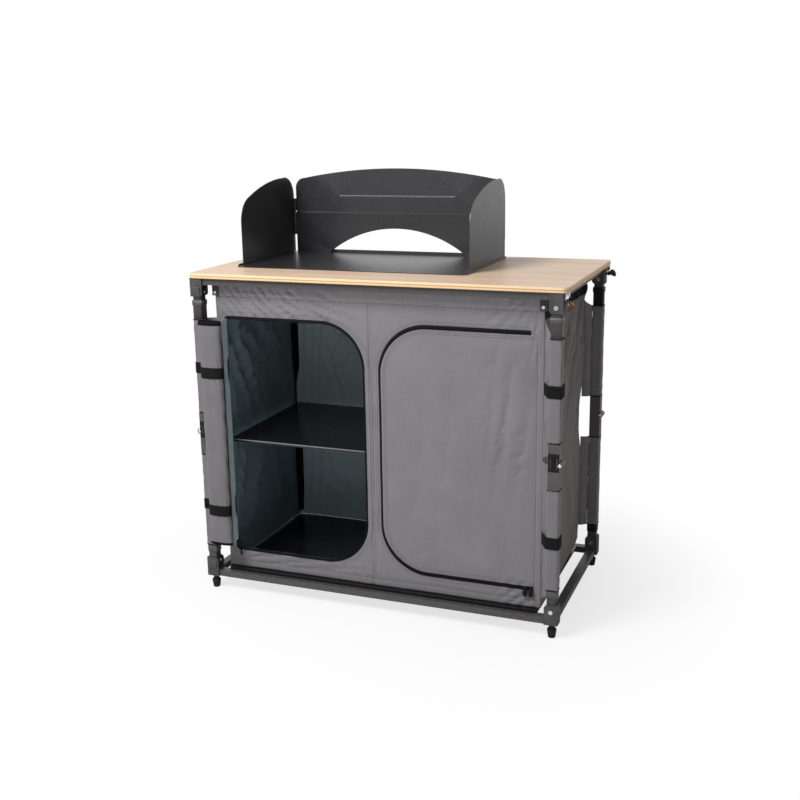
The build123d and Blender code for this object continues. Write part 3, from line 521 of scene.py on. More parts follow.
def tube(name, points, radius, material, sides=8, closed=False, flatten=1.0):
    """A round or oval tube along a line of points, with its length and girth as flat cloth."""
    bm = bmesh.new()
    count = len(points)
    rings = []
    for index, point in enumerate(points):
        if closed:
            ahead = points[(index + 1) % count] - points[index - 1]
        else:
            ahead = points[min(index + 1, count - 1)] - points[max(index - 1, 0)]
        side, out = square_to(ahead.normalized())
        rings.append([
            bm.verts.new(point + radius * (cos(angle) * side + flatten * sin(angle) * out))
            for angle in even_angles(sides)
        ])
    lengths = lengths_along(points + points[:1])
    girth = 2 * pi * radius / sides
    skin(bm, rings, lambda level, step: (lengths[level], step * girth), True, closed)
    if not closed:
        bm.faces.new(list(reversed(rings[0])))
        bm.faces.new(rings[-1])
    return add_solid(name, bm, [material])


def loft(name, rings, material_names, girth, tips=(None, None), material_of=None):
    """A skin over closed rings of points, closed by a tip at each end where one is given."""
    bm = bmesh.new()
    count = len(rings[0])
    verts = [[bm.verts.new(point) for point in ring] for ring in rings]
    lengths = lengths_along([ring[0] for ring in rings])
    skin(bm, verts, lambda level, turn: (turn * girth / count, lengths[level]), True, False, material_of)
    for ring, tip in ((verts[0], tips[0]), (verts[-1], tips[1])):
        if tip is not None:
            point = bm.verts.new(tip)
            for turn in range(count):
                bm.faces.new([ring[turn], ring[(turn + 1) % count], point])
    return add_solid(name, bm, material_names)


def rounded(share, power):
    """A sine or cosine bent towards a square's outline by a power below 1."""
    return abs(share) ** power * (1 if share > 0 else -1)


def stitching(name, points, material="thread", length=0.0032, gap=0.0014, radius=0.00040):
    """A row of single stitches along a line of points."""
    bm = bmesh.new()
    travelled = 0.0
    marks = []
    for start, end in zip(points, points[1:]):
        step = (end - start).length
        if step < 1e-9:
            continue
        while travelled < step:
            marks.append((start.lerp(end, travelled / step), (end - start).normalized()))
            travelled += length + gap
        travelled -= step
    for point, ahead in marks:
        side, out = square_to(ahead)
        middle = []
        tips = [bm.verts.new(point), bm.verts.new(point + length * ahead)]
        for step in range(4):
            angle = pi / 2 * step + pi / 4
            offset = radius * (cos(angle) * side + sin(angle) * out)
            middle.append(bm.verts.new(point + 0.5 * length * ahead + 1.6 * offset))
        for step in range(4):
            after = (step + 1) % 4
            bm.faces.new([tips[0], middle[step], middle[after]])
            bm.faces.new([tips[1], middle[after], middle[step]])
    return add_solid(name, bm, [material])


def dress(node, material):
    """Gives a CAD node its material."""
    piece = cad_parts[node]
    piece.data.materials.clear()
    piece.data.materials.append(materials[material])


def fix_to(piece, body):
    """Lets a piece move with a body."""
    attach(piece, body)


def sink(piece, body="base"):
    """The same for a soft piece, which also gets a mesh of its own."""
    fix_to(piece, body)
    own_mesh(piece)


# Shape of the cloth


def wrinkle(x, z, middle, angle, spacing, along, across, depth):
    """One bundle of parallel folds about a middle point, fading out along and across."""
    turn = radians(angle)
    dx = x - middle[0]
    dz = z - middle[1]
    s = dx * cos(turn) + dz * sin(turn)
    t = -dx * sin(turn) + dz * cos(turn)
    drift = 0.25 * spacing * noise.noise(Vector((7 * s / along, t / spacing, angle)))
    ridge = 2 * abs(cos(pi * (t + drift) / spacing)) ** 0.75 - 1
    return depth * ridge * exp(-(s / along) ** 2 - (t / across) ** 2)


def soft_noise(x, z, size, seed):
    return noise.noise(Vector((x / size, z / size, seed)))


front_folds = (
    ((-0.352, 0.762), -60, 0.020, 0.026, 0.040, 0.0034),
    ((-0.345, 0.722), -52, 0.018, 0.026, 0.036, 0.0040),
    ((-0.285, 0.760), -54, 0.021, 0.026, 0.045, 0.0034),
    ((-0.280, 0.720), -44, 0.020, 0.030, 0.040, 0.0044),
    ((-0.215, 0.758), -50, 0.024, 0.026, 0.040, 0.0028),
    ((-0.205, 0.716), -34, 0.024, 0.034, 0.036, 0.0040),
    ((-0.125, 0.714), -26, 0.026, 0.040, 0.034, 0.0034),
    ((-0.050, 0.716), -22, 0.030, 0.040, 0.034, 0.0014),
    ((-0.100, 0.762), -40, 0.030, 0.026, 0.040, 0.0012),
    ((0.335, 0.758), 52, 0.022, 0.026, 0.045, 0.0022),
    ((0.300, 0.716), 38, 0.026, 0.030, 0.034, 0.0014),
    ((0.080, 0.724), -20, 0.034, 0.070, 0.030, 0.0008),
    ((0.392, 0.690), 80, 0.020, 0.070, 0.024, 0.0018),
    ((-0.006, 0.470), 88, 0.013, 0.190, 0.015, 0.0010),
    ((0.000, 0.200), 86, 0.016, 0.090, 0.018, 0.0012),
    ((-0.345, 0.090), 14, 0.018, 0.050, 0.018, 0.0018),
    ((-0.250, 0.088), 10, 0.020, 0.060, 0.020, 0.0016),
    ((-0.130, 0.090), 6, 0.022, 0.090, 0.020, 0.0012),
    ((-0.020, 0.090), -62, 0.026, 0.034, 0.060, 0.0018),
    ((0.345, 0.084), 40, 0.020, 0.040, 0.050, 0.0018),
)

door_folds = (
    ((0.335, 0.455), 80, 0.050, 0.130, 0.050, 0.0021),
    ((0.300, 0.480), 86, 0.040, 0.120, 0.036, 0.0014),
    ((0.352, 0.400), 14, 0.030, 0.040, 0.030, 0.0010),
    ((0.150, 0.420), 84, 0.060, 0.140, 0.050, 0.0012),
    ((0.200, 0.240), 92, 0.090, 0.160, 0.080, 0.0009),
    ((0.310, 0.620), 62, 0.050, 0.080, 0.050, 0.0010),
    ((0.110, 0.130), 30, 0.040, 0.060, 0.040, 0.0010),
)


def front_depth(x, z):
    """How far the front cloth stands forward of its plane."""
    depth = 0.0016 * soft_noise(x, z, 0.13, 3) + 0.0008 * soft_noise(x, z, 0.045, 5)
    for fold in front_folds:
        depth += wrinkle(x, z, *fold)
    pucker = 0.00035 * sin(x * 520 + 3 * soft_noise(x, z, 0.03, 8)) * exp(-((z - hem_seam_z) / 0.010) ** 2)
    groove = 0.0008 * exp(-((z - hem_seam_z) / 0.0040) ** 2)
    groove += 0.0010 * exp(-((z - bottom_seam_z) / 0.004) ** 2)
    groove += 0.0012 * exp(-((x + 0.006) / 0.0040) ** 2)
    edge = min(1.0, (cupboard_x - abs(x)) / 0.02)
    return (depth + pucker - groove) * max(0.0, edge)


def door_depth(x, z):
    """How far the zipped door bellies forward: most in its middle, none at its zip."""
    depth = 0.0015 + 0.0014 * soft_noise(x, z, 0.12, 11) + 0.0005 * soft_noise(x, z, 0.04, 12)
    for fold in door_folds:
        depth += wrinkle(x, z, *fold)
    return depth


def doorway_distance(x, z, inner, outer, grow=0.0):
    """Distance from a doorway's outline: negative inside, positive outside."""
    side = 1 if outer > inner else -1
    low_x = min(inner, outer) - grow
    high_x = max(inner, outer) + grow
    half_x = (high_x - low_x) / 2
    half_z = (doorway_high - doorway_low) / 2 + grow
    dx = x - (low_x + high_x) / 2
    dz = z - doorway_middle
    near_inner = dx * side < 0
    radius = (doorway_radius if near_inner else doorway_small_radius) + grow
    qx = abs(dx) - half_x + radius
    qz = abs(dz) - half_z + radius
    return min(max(qx, qz), 0) + hypot(max(qx, 0), max(qz, 0)) - radius


def outline(doorway, closed, low_end=None, high_end=None, step=0.005):
    """Points round a doorway, each with its outward direction, in the plane of the front.

    They run from the lower outer end over the inner side to the upper outer end, and back
    down the outer side where the outline is closed.
    """
    inner, outer = doorway
    side = 1 if outer > inner else -1
    line = []

    def run(start, end, direction):
        count = max(1, round(hypot(end[0] - start[0], end[1] - start[1]) / step))
        for index in range(count):
            share = index / count
            x = start[0] + (end[0] - start[0]) * share
            z = start[1] + (end[1] - start[1]) * share
            line.append(((x, z), direction))

    def bend(x, z, radius, start_angle, end_angle):
        count = max(4, round(abs(radians(end_angle - start_angle)) * radius / step))
        for index in range(count):
            angle = radians(start_angle + (end_angle - start_angle) * index / count)
            direction = (side * cos(angle), sin(angle))
            line.append(((x + radius * direction[0], z + radius * direction[1]), direction))

    small = doorway_small_radius if closed else 0
    low_end = outer - side * small if low_end is None else low_end
    high_end = outer - side * small if high_end is None else high_end
    turn_x = inner + side * doorway_radius
    run((low_end, doorway_low), (turn_x, doorway_low), (0, -1))
    bend(turn_x, doorway_low + doorway_radius, doorway_radius, 270, 180)
    run((inner, doorway_low + doorway_radius), (inner, doorway_high - doorway_radius), (-side, 0))
    bend(turn_x, doorway_high - doorway_radius, doorway_radius, 180, 90)
    run((turn_x, doorway_high), (high_end, doorway_high), (0, 1))
    if closed:
        bend(outer - side * small, doorway_high - small, small, 90, 0)
        run((outer, doorway_high - small), (outer, doorway_low + small), (side, 0))
        bend(outer - side * small, doorway_low + small, small, 0, -90)
        line.append(line[0])
    else:
        line.append(((high_end, doorway_high), (0, 1)))
    return line


def beside(line, offset):
    """The points of an outline moved outwards by an offset."""
    return [(x + offset * out_x, z + offset * out_z) for (x, z), (out_x, out_z) in line]


def snap_to_outlines(x, z, outlines):
    """Moves a grid point onto a doorway's outline where the outline passes near it."""
    for inner, outer, grow in outlines:
        distance = doorway_distance(x, z, inner, outer, grow)
        if abs(distance) < snap_reach:
            probe = 0.0004
            slope_x = doorway_distance(x + probe, z, inner, outer, grow) - distance
            slope_z = doorway_distance(x, z + probe, inner, outer, grow) - distance
            length = hypot(slope_x, slope_z)
            if length > 1e-9:
                x -= distance * slope_x / length
                z -= distance * slope_z / length
    return x, z


def smooth(value, low, high):
    """0 below low, 1 above high, and an even rise between."""
    share = min(1.0, max(0.0, (value - low) / (high - low)))
    return share * share * (3 - 2 * share)


# Front of the cupboard: one panel with two doorways, its hems and its seams

left_doorway = (left_inner, left_edge)
right_doorway = (right_inner, right_hinge)
panel_width = 2 * cupboard_x
panel_height = cloth_top - cloth_bottom


def front_point(x, z, proud=0.0):
    return Vector((x, -cupboard_y - front_depth(x, z) - proud, z))


def panel_spot(u, v):
    return -cupboard_x + panel_width * u, cloth_bottom + panel_height * v


def panel_snap(x, z):
    return snap_to_outlines(x, z, [(*left_doorway, 0.0), (*right_doorway, 0.0)])


def panel_keep(x, z):
    return doorway_distance(x, z, *left_doorway) > 0 and doorway_distance(x, z, *right_doorway) > 0


two_sided = ["cloth", "lining"]
front_panel = grid_sheet("front_panel", 290, 262, panel_spot, front_point, two_sided, panel_snap, panel_keep)
thicken(front_panel, inner=1)
sink(front_panel)
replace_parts(front_panel, "cloth_cupboard")


# Right door: unzipped along its hinge side, bellied forward by the air behind it

door_lap = 0.0018            # how far its hem laps over the panel


def door_point(x, z, proud=0.0):
    inside = -doorway_distance(x, z, *right_doorway, door_lap)
    share = smooth(inside, 0.0, 0.045)
    lift = 0.0006 - 0.0013 * smooth(x, right_hinge - 0.004, right_hinge + door_lap)
    depth = front_depth(x, z) * (1 - share) + door_depth(x, z) * share + lift
    return Vector((x, -cupboard_y - depth - proud, z))


door_width = right_hinge - right_inner + 2 * door_lap
door_height = doorway_high - doorway_low + 2 * door_lap


def door_spot(u, v):
    return right_inner - door_lap + door_width * u, doorway_low - door_lap + door_height * v


def door_snap(x, z):
    return snap_to_outlines(x, z, [(*right_doorway, door_lap)])


def door_keep(x, z):
    return doorway_distance(x, z, *right_doorway, door_lap) < 0


door_cloth = grid_sheet("door_cloth", 96, 150, door_spot, door_point, two_sided, door_snap, door_keep)
thicken(door_cloth, inner=1)
sink(door_cloth, "door")
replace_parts(door_cloth, "right_door")


# Zip tapes: a flat woven band round each doorway, with coil teeth along its inner edge

left_outline = outline(left_doorway, True)
right_outline = outline(right_doorway, False, 0.384, 0.372)


def zip_band(name, line, side_edges, level_edges):
    """A woven band that follows the cloth, thicker where the coil is sewn on.

    Its two edges, as offsets from the outline, change from the upright runs to the level ones.
    """
    bm = bmesh.new()
    profile = (
        (0.0, 0.0), (0.0, 0.0014), (0.22, 0.0016), (0.32, 0.0011), (0.92, 0.0010), (1.0, 0.0006), (1.0, 0.0)
    )
    rows = []
    for place, lift in profile:
        row = []
        for (x, z), (out_x, out_z) in line:
            near, far = [side + (level - side) * abs(out_z) for side, level in zip(side_edges, level_edges)]
            offset = near + (far - near) * place
            row.append(bm.verts.new(front_point(x + offset * out_x, z + offset * out_z, lift)))
        rows.append(row)
    lengths = lengths_along([vert.co for vert in rows[3]])
    skin(bm, rows, lambda level, index: (lengths[index], profile[level][0] * tape_width))
    return add_solid(name, bm, ["tape"])


def along_outline(line, offset, lift, place, step=0.002):
    """Points at an even step beside an outline, lifted off the cloth."""
    corners = [place(x, z, lift) for x, z in beside(line, offset)]
    points = [corners[0]]
    rest = step
    for start, end in zip(corners, corners[1:]):
        length = (end - start).length
        while rest <= length:
            points.append(start.lerp(end, rest / length))
            rest += step
        rest -= length
    return points


def zip_teeth(name, points, half_width):
    """Coil teeth: one small rounded bar across the zip at each point."""
    tooth_half = 0.00045
    bm = bmesh.new()
    for index in range(1, len(points) - 1):
        along = (points[index + 1] - points[index - 1]).normalized()
        across = along.cross(Vector((0, 1, 0))).normalized()
        out = across.cross(along)
        ends = []
        for end, size in ((-1, 0.5), (-0.6, 1.0), (0.6, 1.0), (1, 0.5)):
            centre = points[index] + end * half_width * across
            ends.append([
                centre + size * tooth_half * (turn_a * along + turn_b * out)
                for turn_a, turn_b in ((-1, -1), (1, -1), (1, 1), (-1, 1))
            ])
        prism(bm, ends)
    return add_solid(name, bm, ["zip"])


left_edges = ((-0.0032, 0.0008), (0.0, 0.0068))
right_edges = ((0.0024, 0.0072), (0.0, tape_width))
left_band = zip_band("zip_band_left", left_outline, *left_edges)
right_band = zip_band("zip_band_right", right_outline, *right_edges)
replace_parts(left_band, "zip_tapes")
for band in (left_band, right_band):
    sink(band)
for name, line, coil_offset in (("left", left_outline, -0.0006), ("right", right_outline, 0.0036)):
    coil = along_outline(line, coil_offset, 0.0019, front_point)
    teeth = zip_teeth(f"zip_coil_{name}", coil, 0.0010)
    sink(teeth)
    for row, offset in enumerate((0.0115, 0.0170)):
        line_points = along_outline(line, offset, 0.0001, front_point, 0.004)
        stitches = stitching(f"band_stitches_{name}_{row}", line_points)
        sink(stitches)


# Two rows of stitches round the hem of the right door

door_outline = outline(right_doorway, False)
for row, offset in enumerate((-0.0050, -0.0100)):
    line_points = along_outline(door_outline, offset, 0.0001, door_point, 0.004)
    stitches = stitching(f"door_hem_stitches_{row}", line_points)
    sink(stitches, "door")


# Top hem of the front: a turned strip of its own over the panel, in a lighter copy of the grey cloth that
# paints light over the tabletop's shadow

hem_height = cloth_top - hem_seam_z
hem_inset = 0.003
hem_width = panel_width - 2 * hem_inset
hem_proud = 0.0011


def hem_spot(u, v):
    return hem_inset - cupboard_x + hem_width * u, hem_seam_z + hem_height * v


def hem_point(x, z):
    return front_point(x, z, hem_proud)


top_hem = grid_sheet("top_hem", 290, 16, hem_spot, hem_point, ["hem_cloth_painted_light"])
thicken(top_hem, 0.0009)
sink(top_hem)


# Seams of the front panel

for name, z, proud in (("top", hem_seam_z + 0.0030, 0.0012), ("bottom", bottom_seam_z, 0.0001)):
    line = [front_point(-cupboard_x + 0.004 + 0.004 * index, z, proud) for index in range(199)]
    sink(stitching(f"hem_stitches_{name}", line))
for name, x in (("left", -0.0095), ("right", -0.0025)):
    line = [front_point(x, bottom_seam_z + 0.004 * index, 0.0001) for index in range(167)]
    sink(stitching(f"middle_stitches_{name}", line))


# Side and back walls, one wrapped piece each, drawn in at the back where no web holds them


def slack(z):
    """How far the rear corners are drawn in, most where the leg sleeves leave a gap."""
    knee_gap = smooth(z, 0.300, 0.385) * (1 - smooth(z, 0.430, 0.510))
    high = smooth(z, 0.670, 0.740)
    low = 1 - smooth(z, 0.090, 0.150)
    return 0.010 * knee_gap + 0.001 * high + 0.004 * low


side_folds = (
    ((0.110, 0.600), 62, 0.056, 0.170, 0.060, 0.0076),
    ((0.165, 0.540), 78, 0.040, 0.160, 0.030, 0.0056),
    ((0.020, 0.640), 40, 0.060, 0.140, 0.050, 0.0056),
    ((-0.040, 0.560), 66, 0.120, 0.130, 0.070, 0.0040),
    ((0.070, 0.260), -66, 0.100, 0.130, 0.060, 0.0044),
    ((0.150, 0.430), 10, 0.036, 0.060, 0.036, 0.0034),
    ((-0.120, 0.230), 80, 0.080, 0.120, 0.050, 0.0030),
    ((0.140, 0.120), 30, 0.050, 0.070, 0.040, 0.0030),
    ((-0.110, 0.680), -46, 0.050, 0.060, 0.036, 0.0030),
    ((0.150, 0.690), 56, 0.036, 0.050, 0.028, 0.0034),
)

back_folds = (
    ((-0.352, 0.560), 87, 0.026, 0.180, 0.024, 0.0060),
    ((-0.325, 0.570), 82, 0.020, 0.140, 0.018, 0.0044),
    ((-0.335, 0.230), 84, 0.028, 0.150, 0.030, 0.0050),
    ((-0.262, 0.590), 62, 0.030, 0.080, 0.020, 0.0110),
    ((-0.232, 0.570), -50, 0.030, 0.075, 0.020, 0.0104),
    ((-0.245, 0.520), 16, 0.028, 0.060, 0.018, 0.0090),
    ((-0.285, 0.470), -72, 0.028, 0.080, 0.020, 0.0080),
    ((-0.196, 0.610), 76, 0.030, 0.090, 0.020, 0.0056),
    ((-0.150, 0.620), 66, 0.050, 0.110, 0.034, 0.0040),
    ((-0.050, 0.500), 82, 0.070, 0.190, 0.050, 0.0036),
    ((-0.180, 0.200), 60, 0.070, 0.110, 0.050, 0.0040),
    ((-0.270, 0.150), -40, 0.050, 0.080, 0.036, 0.0036),
    ((0.150, 0.450), 88, 0.110, 0.260, 0.080, 0.0030),
    ((0.345, 0.450), 86, 0.026, 0.220, 0.024, 0.0040),
)


wall_high = 0.768           # upper edge of the side and back walls
outward_limit = 0.0055      # the back wall bulges out less, clear of the legs that fold behind it


def wall_point(side, y, z):
    """A point of a side wall. y runs along it and z up it, both in the flat cloth."""
    rear = smooth(y, 0.110, cupboard_y)
    pull = slack(z) * rear
    depth = 0.0016 * soft_noise(y + side, z, 0.11, 21) + 0.0006 * soft_noise(y, z + side, 0.04, 22)
    for fold in side_folds:
        depth += wrinkle(side * y if side < 0 else y, z, *fold)
    if side < 0:
        depth *= 1.5
    belly = 0.004 * sin(pi * (z - cloth_bottom) / panel_height)
    depth += belly * sin(pi * (y + cupboard_y) / (2 * cupboard_y))
    depth -= 0.0007 * exp(-((z - side_grey_top) / 0.004) ** 2)
    depth *= min(1.0, (cupboard_y - abs(y)) / 0.03)
    flare = 0.008 * exp(-((z - 0.735) / 0.020) ** 2) * rear if side > 0 else 0
    return Vector((side * (cupboard_x + depth - 0.4 * pull) + flare, y - pull + 0.5 * flare, z))


def wall_top(y):
    """Height of a side wall's upper edge, which is cut down towards its rear corner."""
    return wall_high - 0.024 * smooth(y, 0.150, 0.198)


def wall_bottom(side, y):
    """Height of a side wall's lower edge, which rises in an arc at the back of the right wall."""
    rise = 0.024 if side > 0 else 0.0
    return cloth_bottom + rise * smooth(y, -0.150, 0.205) ** 1.5


def side_wall(name, side):
    def spot(u, v):
        y = -cupboard_y + 2 * cupboard_y * u
        low = wall_bottom(side, y)
        z = low + (wall_top(y) - low) * v
        return y, side_grey_top if abs(z - side_grey_top) < snap_reach else z

    # The outer face is a darker copy of the grey cloth: its own warmer grey with painted shade on top.
    faces = ["side_cloth_with_painted_shade", "lining", "binding"]
    wall = grid_sheet(name, 90, 170, spot, lambda y, z: wall_point(side, y, z), faces)
    if side < 0:
        wall.data.flip_normals()
    for polygon in wall.data.polygons:
        if polygon.center.z > side_grey_top:
            polygon.material_index = 2
    thicken(wall)
    for polygon in wall.data.polygons:
        if polygon.normal.x * side < -0.5:
            polygon.material_index = 1
    sink(wall)


side_wall("side_wall_right", 1)
side_wall("side_wall_left", -1)


def back_point(x, z):
    edge = smooth(abs(x), 0.330, cupboard_x)
    pull = slack(z)
    depth = 0.0020 * soft_noise(x, z, 0.12, 31) + 0.0007 * soft_noise(x, z, 0.045, 32)
    for fold in back_folds:
        depth += wrinkle(x, z, *fold)
    depth += 0.003 * sin(pi * (z - cloth_bottom) / panel_height) * cos(pi * x / (2 * cupboard_x))
    depth *= min(1.0, (cupboard_x - abs(x)) / 0.03)
    if depth > 0:
        depth = outward_limit * tanh(depth / outward_limit)
    side = 1 if x > 0 else -1
    return Vector((x - side * 0.4 * pull * edge, cupboard_y + depth - pull * edge, z))


def back_spot(u, v):
    x = -cupboard_x + 2 * cupboard_x * u
    corner = smooth(abs(x), 0.360, cupboard_x)
    low = cloth_bottom + (wall_bottom(x, cupboard_y) - cloth_bottom) * corner
    high = wall_high - (wall_high - wall_top(cupboard_y)) * corner
    return x, low + (high - low) * v


# Its inner face is the lighter copy of the lining: painted light.
back_wall = grid_sheet("back_wall", 180, 160, back_spot, back_point, ["cloth", "back_lining_painted_light"])
back_wall.data.flip_normals()
thicken(back_wall, inner=1)
sink(back_wall)


# Black binding over the seam of the back left corner, seen through the open doorway


binding_length = 0.690
binding_width = 0.022


def corner_spot(u, v):
    return binding_width * u, binding_length * v


def corner_point(across, up):
    u = across / binding_width
    z = cloth_bottom + 0.012 + up
    spread = 0.0077 * (2 * u - 1)
    bulge = 0.00112 * cos(pi * (u - 0.5))
    sway = 0.0012 * soft_noise(0.0, z, 0.12, 61)
    x = -cupboard_x + 0.0085 + spread + bulge + sway
    return Vector((x, cupboard_y - 0.0095 + spread - bulge, z))


corner_binding = grid_sheet("corner_binding", 6, 90, corner_spot, corner_point, ["binding"])
thicken(corner_binding, 0.0010)
sink(corner_binding)


# Webs between the cupboard's corners and the leg sleeves. At the front their inner edges run on
# past the sleeves, up to the hangers and down to the hem.

web_x = leg_x - sleeve_half - 0.0003
web_y = leg_y - 0.0105


def web(name, x_side, y_side, outer_heights, inner_heights):
    """A narrow strip of cloth between a cupboard corner and a leg, with soft upright folds."""
    inner = Vector((x_side * (cupboard_x - 0.0012), y_side * (cupboard_y - 0.0004), 0))
    outer = Vector((x_side * web_x, y_side * web_y, 0))
    width = (outer - inner).length

    def spot(u, v):
        low, high = [start + (end - start) * sqrt(u) for start, end in zip(inner_heights, outer_heights)]
        return u * width, low + (high - low) * v

    def place(across, z):
        share = across / width
        point = inner.lerp(outer, share)
        fold = 0.0026 * sin(pi * share) * (1 + 0.5 * soft_noise(share, z, 0.05, 41 + x_side + 2 * y_side))
        fold += 0.0012 * sin(2 * pi * share) * sin(z * 9 + x_side)
        ripple = 0.0006 * sin(z * 120 + 4 * soft_noise(share, z, 0.08, 45)) * sin(pi * share)
        return Vector((point.x, point.y - y_side * (fold + ripple), z))

    # The web's cloth is the slightly darker copy of the grey cloth: painted shade.
    sheet = grid_sheet(name, 8, 60, spot, place, ["web_cloth_painted_shade"])
    if x_side * y_side > 0:
        sheet.data.flip_normals()
    thicken(sheet)
    sink(sheet)
    length = max(outer_heights[1], inner_heights[1]) - min(outer_heights[0], inner_heights[0])


plain_web = (lower_sleeve, lower_sleeve, upper_sleeve, upper_sleeve)
web_heights = {
    "front_left": (lower_sleeve, (0.120, 0.392), upper_sleeve, (0.430, 0.690)),
    "front_right": ((0.090, 0.400), (0.066, 0.408), (0.420, 0.690), (0.413, 0.738)),
    "back_left": plain_web,
    "back_right": (lower_sleeve, lower_sleeve, upper_sleeve, (0.459, 0.712)),
}
for corner, (x_side, y_side) in leg_sides.items():
    heights = web_heights[corner]
    web(f"web_lower_{corner}", x_side, y_side, heights[0], heights[1])
    web(f"web_upper_{corner}", x_side, y_side, heights[2], heights[3])


# Leg sleeves: cloth pulled round each leg, closed by a seam, bound black at both ends


def square_ring(centre_x, centre_y, half, z, turns=48, swell=None):
    """A ring of points round a square leg, with round corners and optional folds."""
    ring = []
    for angle in even_angles(turns):
        stretch = 1 + (swell(angle) if swell else 0) / half
        x = half * stretch * rounded(cos(angle), 0.22)
        y = half * stretch * rounded(sin(angle), 0.22)
        ring.append(Vector((centre_x + x, centre_y + y, z)))
    return ring


def sleeve(name, x_side, y_side, low_z, high_z, body, seed):
    centre_x = x_side * leg_x
    centre_y = y_side * leg_y
    rows = round((high_z - low_z) / 0.004)
    rings = []
    for row in range(rows + 1):
        z = low_z + (high_z - low_z) * row / rows
        near_end = exp(-(min(z - low_z, high_z - z) / 0.03) ** 2)

        def swell(angle):
            fold = 0.0006 * noise.noise(Vector((cos(angle) * 1.4, sin(angle) * 1.4, z / 0.018 + seed)))
            return fold + 0.0005 * sin(z * 230 + 3 * angle + seed) * near_end

        rings.append(square_ring(centre_x, centre_y, sleeve_half - 0.0003, z, 48, swell))
    # The sleeve's cloth is the slightly darker copy of the grey cloth: painted shade.
    cloth = loft(name, rings, ["web_cloth_painted_shade"], 8 * sleeve_half)
    thicken(cloth, 0.0008)
    fix_to(cloth, body)
    for end, z in (("low", low_z + 0.0012), ("high", high_z - 0.0012)):
        rim = square_ring(centre_x, centre_y, sleeve_half - 0.0001, z)
        fix_to(tube(f"{name}_binding_{end}", rim, 0.0011, "binding", 6, True), body)
    seam_x = centre_x - x_side * (sleeve_half + 0.0001)
    seam_y = centre_y - y_side * 0.006
    seam = [Vector((seam_x, seam_y, low_z + 0.004 * step)) for step in range(1, rows)]
    fix_to(stitching(f"{name}_stitches", seam), body)
    return cloth


for index, (corner, (x_side, y_side)) in enumerate(leg_sides.items()):
    for band, (low_z, high_z) in (("lower", lower_sleeve), ("upper", upper_sleeve)):
        cover = sleeve(
            f"sleeve_{band}_{corner}", x_side, y_side, low_z, high_z, f"{band}_leg_{corner}", index + low_z
        )
        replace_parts(cover, f"{band}_sleeve_{corner}")


# Rolled-back left door: a full soft roll with its layers showing at the ends

roll_middle = (roll_low.x + roll_high.x) / 2
roll_half_width = 0.0305
roll_back = -0.2375
roll_half_depth = 0.01225
roll_girth = 0.150
roll_length = roll_high.z - roll_low.z
strap_bands = ((0.206, 0.233), (0.552, 0.579))


def roll_pinch(z):
    """1 inside a strap, falling to 0 away from it."""
    nearest = min(max(low - z, z - high, 0) for low, high in strap_bands)
    return 1 - smooth(nearest, 0.0, 0.030)


def roll_size(z):
    """Half width and half depth of the roll at a height."""
    pinch = roll_pinch(z)
    flat = 1 - smooth(z, roll_low.z, strap_bands[0][0])
    half_width = roll_half_width * (0.985 - 0.05 * pinch + 0.015 * flat)
    half_depth = roll_half_depth * (0.98 - 0.05 * pinch - 0.20 * flat)
    return half_width, half_depth


def roll_ring(z, angle, grow=0.0):
    """A point of the roll's outline: nearly flat at its back, full at its front."""
    half_width, half_depth = roll_size(z)
    across = rounded(cos(angle), 0.86)
    deep = rounded(sin(angle), 0.62 if sin(angle) > 0 else 0.92)
    return Vector((
        roll_middle + (half_width + grow) * across,
        roll_back - roll_half_depth + (half_depth + grow) * deep,
        z,
    ))


def roll_surface(z, angle):
    """A point of the roll's cloth, with its folds."""
    point = roll_ring(z, angle)
    centre = Vector((roll_middle, roll_back - roll_half_depth, z))
    loose = 1 - roll_pinch(z)
    fold = 0.0011 * loose * noise.noise(Vector((cos(angle) * 1.6, sin(angle) * 1.6, z / 0.045)))
    fold += 0.0009 * loose * sin(z * 105 + 2 * angle + 2.5 * noise.noise(Vector((z / 0.09, 1.7, 4.0))))
    for low, high in strap_bands:
        near = exp(-(max(low - z, z - high, 0) / 0.022) ** 2)
        fold += 0.0009 * near * sin(angle * 11 + z * 40)
    return point + (point - centre).normalized() * (fold - 0.0012)


def roll_end(z, out, turns, layers=16):
    """Rings of a roll's end from its rim to its middle, with the wound layers as a spiral ridge."""
    centre = Vector((roll_middle, roll_back - roll_half_depth, z))
    rings = []
    for level in range(1, layers):
        share = 1 - level / layers
        ring = []
        for step in range(turns):
            spiral = cos(2 * pi * (share * 4.5 - step / turns))
            point = centre.lerp(roll_surface(z, 2 * pi * step / turns), share)
            point.z = z + out * (0.0012 * spiral - 0.0040 * (1 - share) - 0.0010)
            ring.append(point)
        rings.append(ring)
    return rings, centre - Vector((0, 0, 0.005 * out))


def roll_body():
    turns = 72
    rows = 170
    rings = []
    for row in range(rows + 1):
        z = roll_low.z + roll_length * row / rows
        rings.append([roll_surface(z, angle) for angle in even_angles(turns)])
    low_rings, low_tip = roll_end(roll_low.z, -1, turns)
    high_rings, high_tip = roll_end(roll_high.z, 1, turns)
    low_bound = len(low_rings) + 1
    high_bound = len(low_rings) + rows - 3

    def material_of(level):
        return 1 if level <= low_bound or level >= high_bound else 0

    rings = list(reversed(low_rings)) + rings + high_rings
    # The roll's cloth is a darker copy of the grey cloth: painted shade.
    return loft("door_roll", rings, ["roll_cloth_painted_shade", "binding"], roll_girth, (low_tip, high_tip), material_of)


door_roll = roll_body()
sink(door_roll)
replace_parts(door_roll, "rolled_door")


# Neck of the roll: the door's cloth from the doorway's edge out to the roll, lining outwards. Its lining side
# is a lighter copy of the lining: painted light against the shade it stands in.

neck_start = Vector((left_edge + 0.0060, tape_front - 0.0030, 0))
neck_end = Vector((roll_middle + roll_half_width - 0.002, roll_back - 0.004, 0))
neck_width = (neck_end - neck_start).length


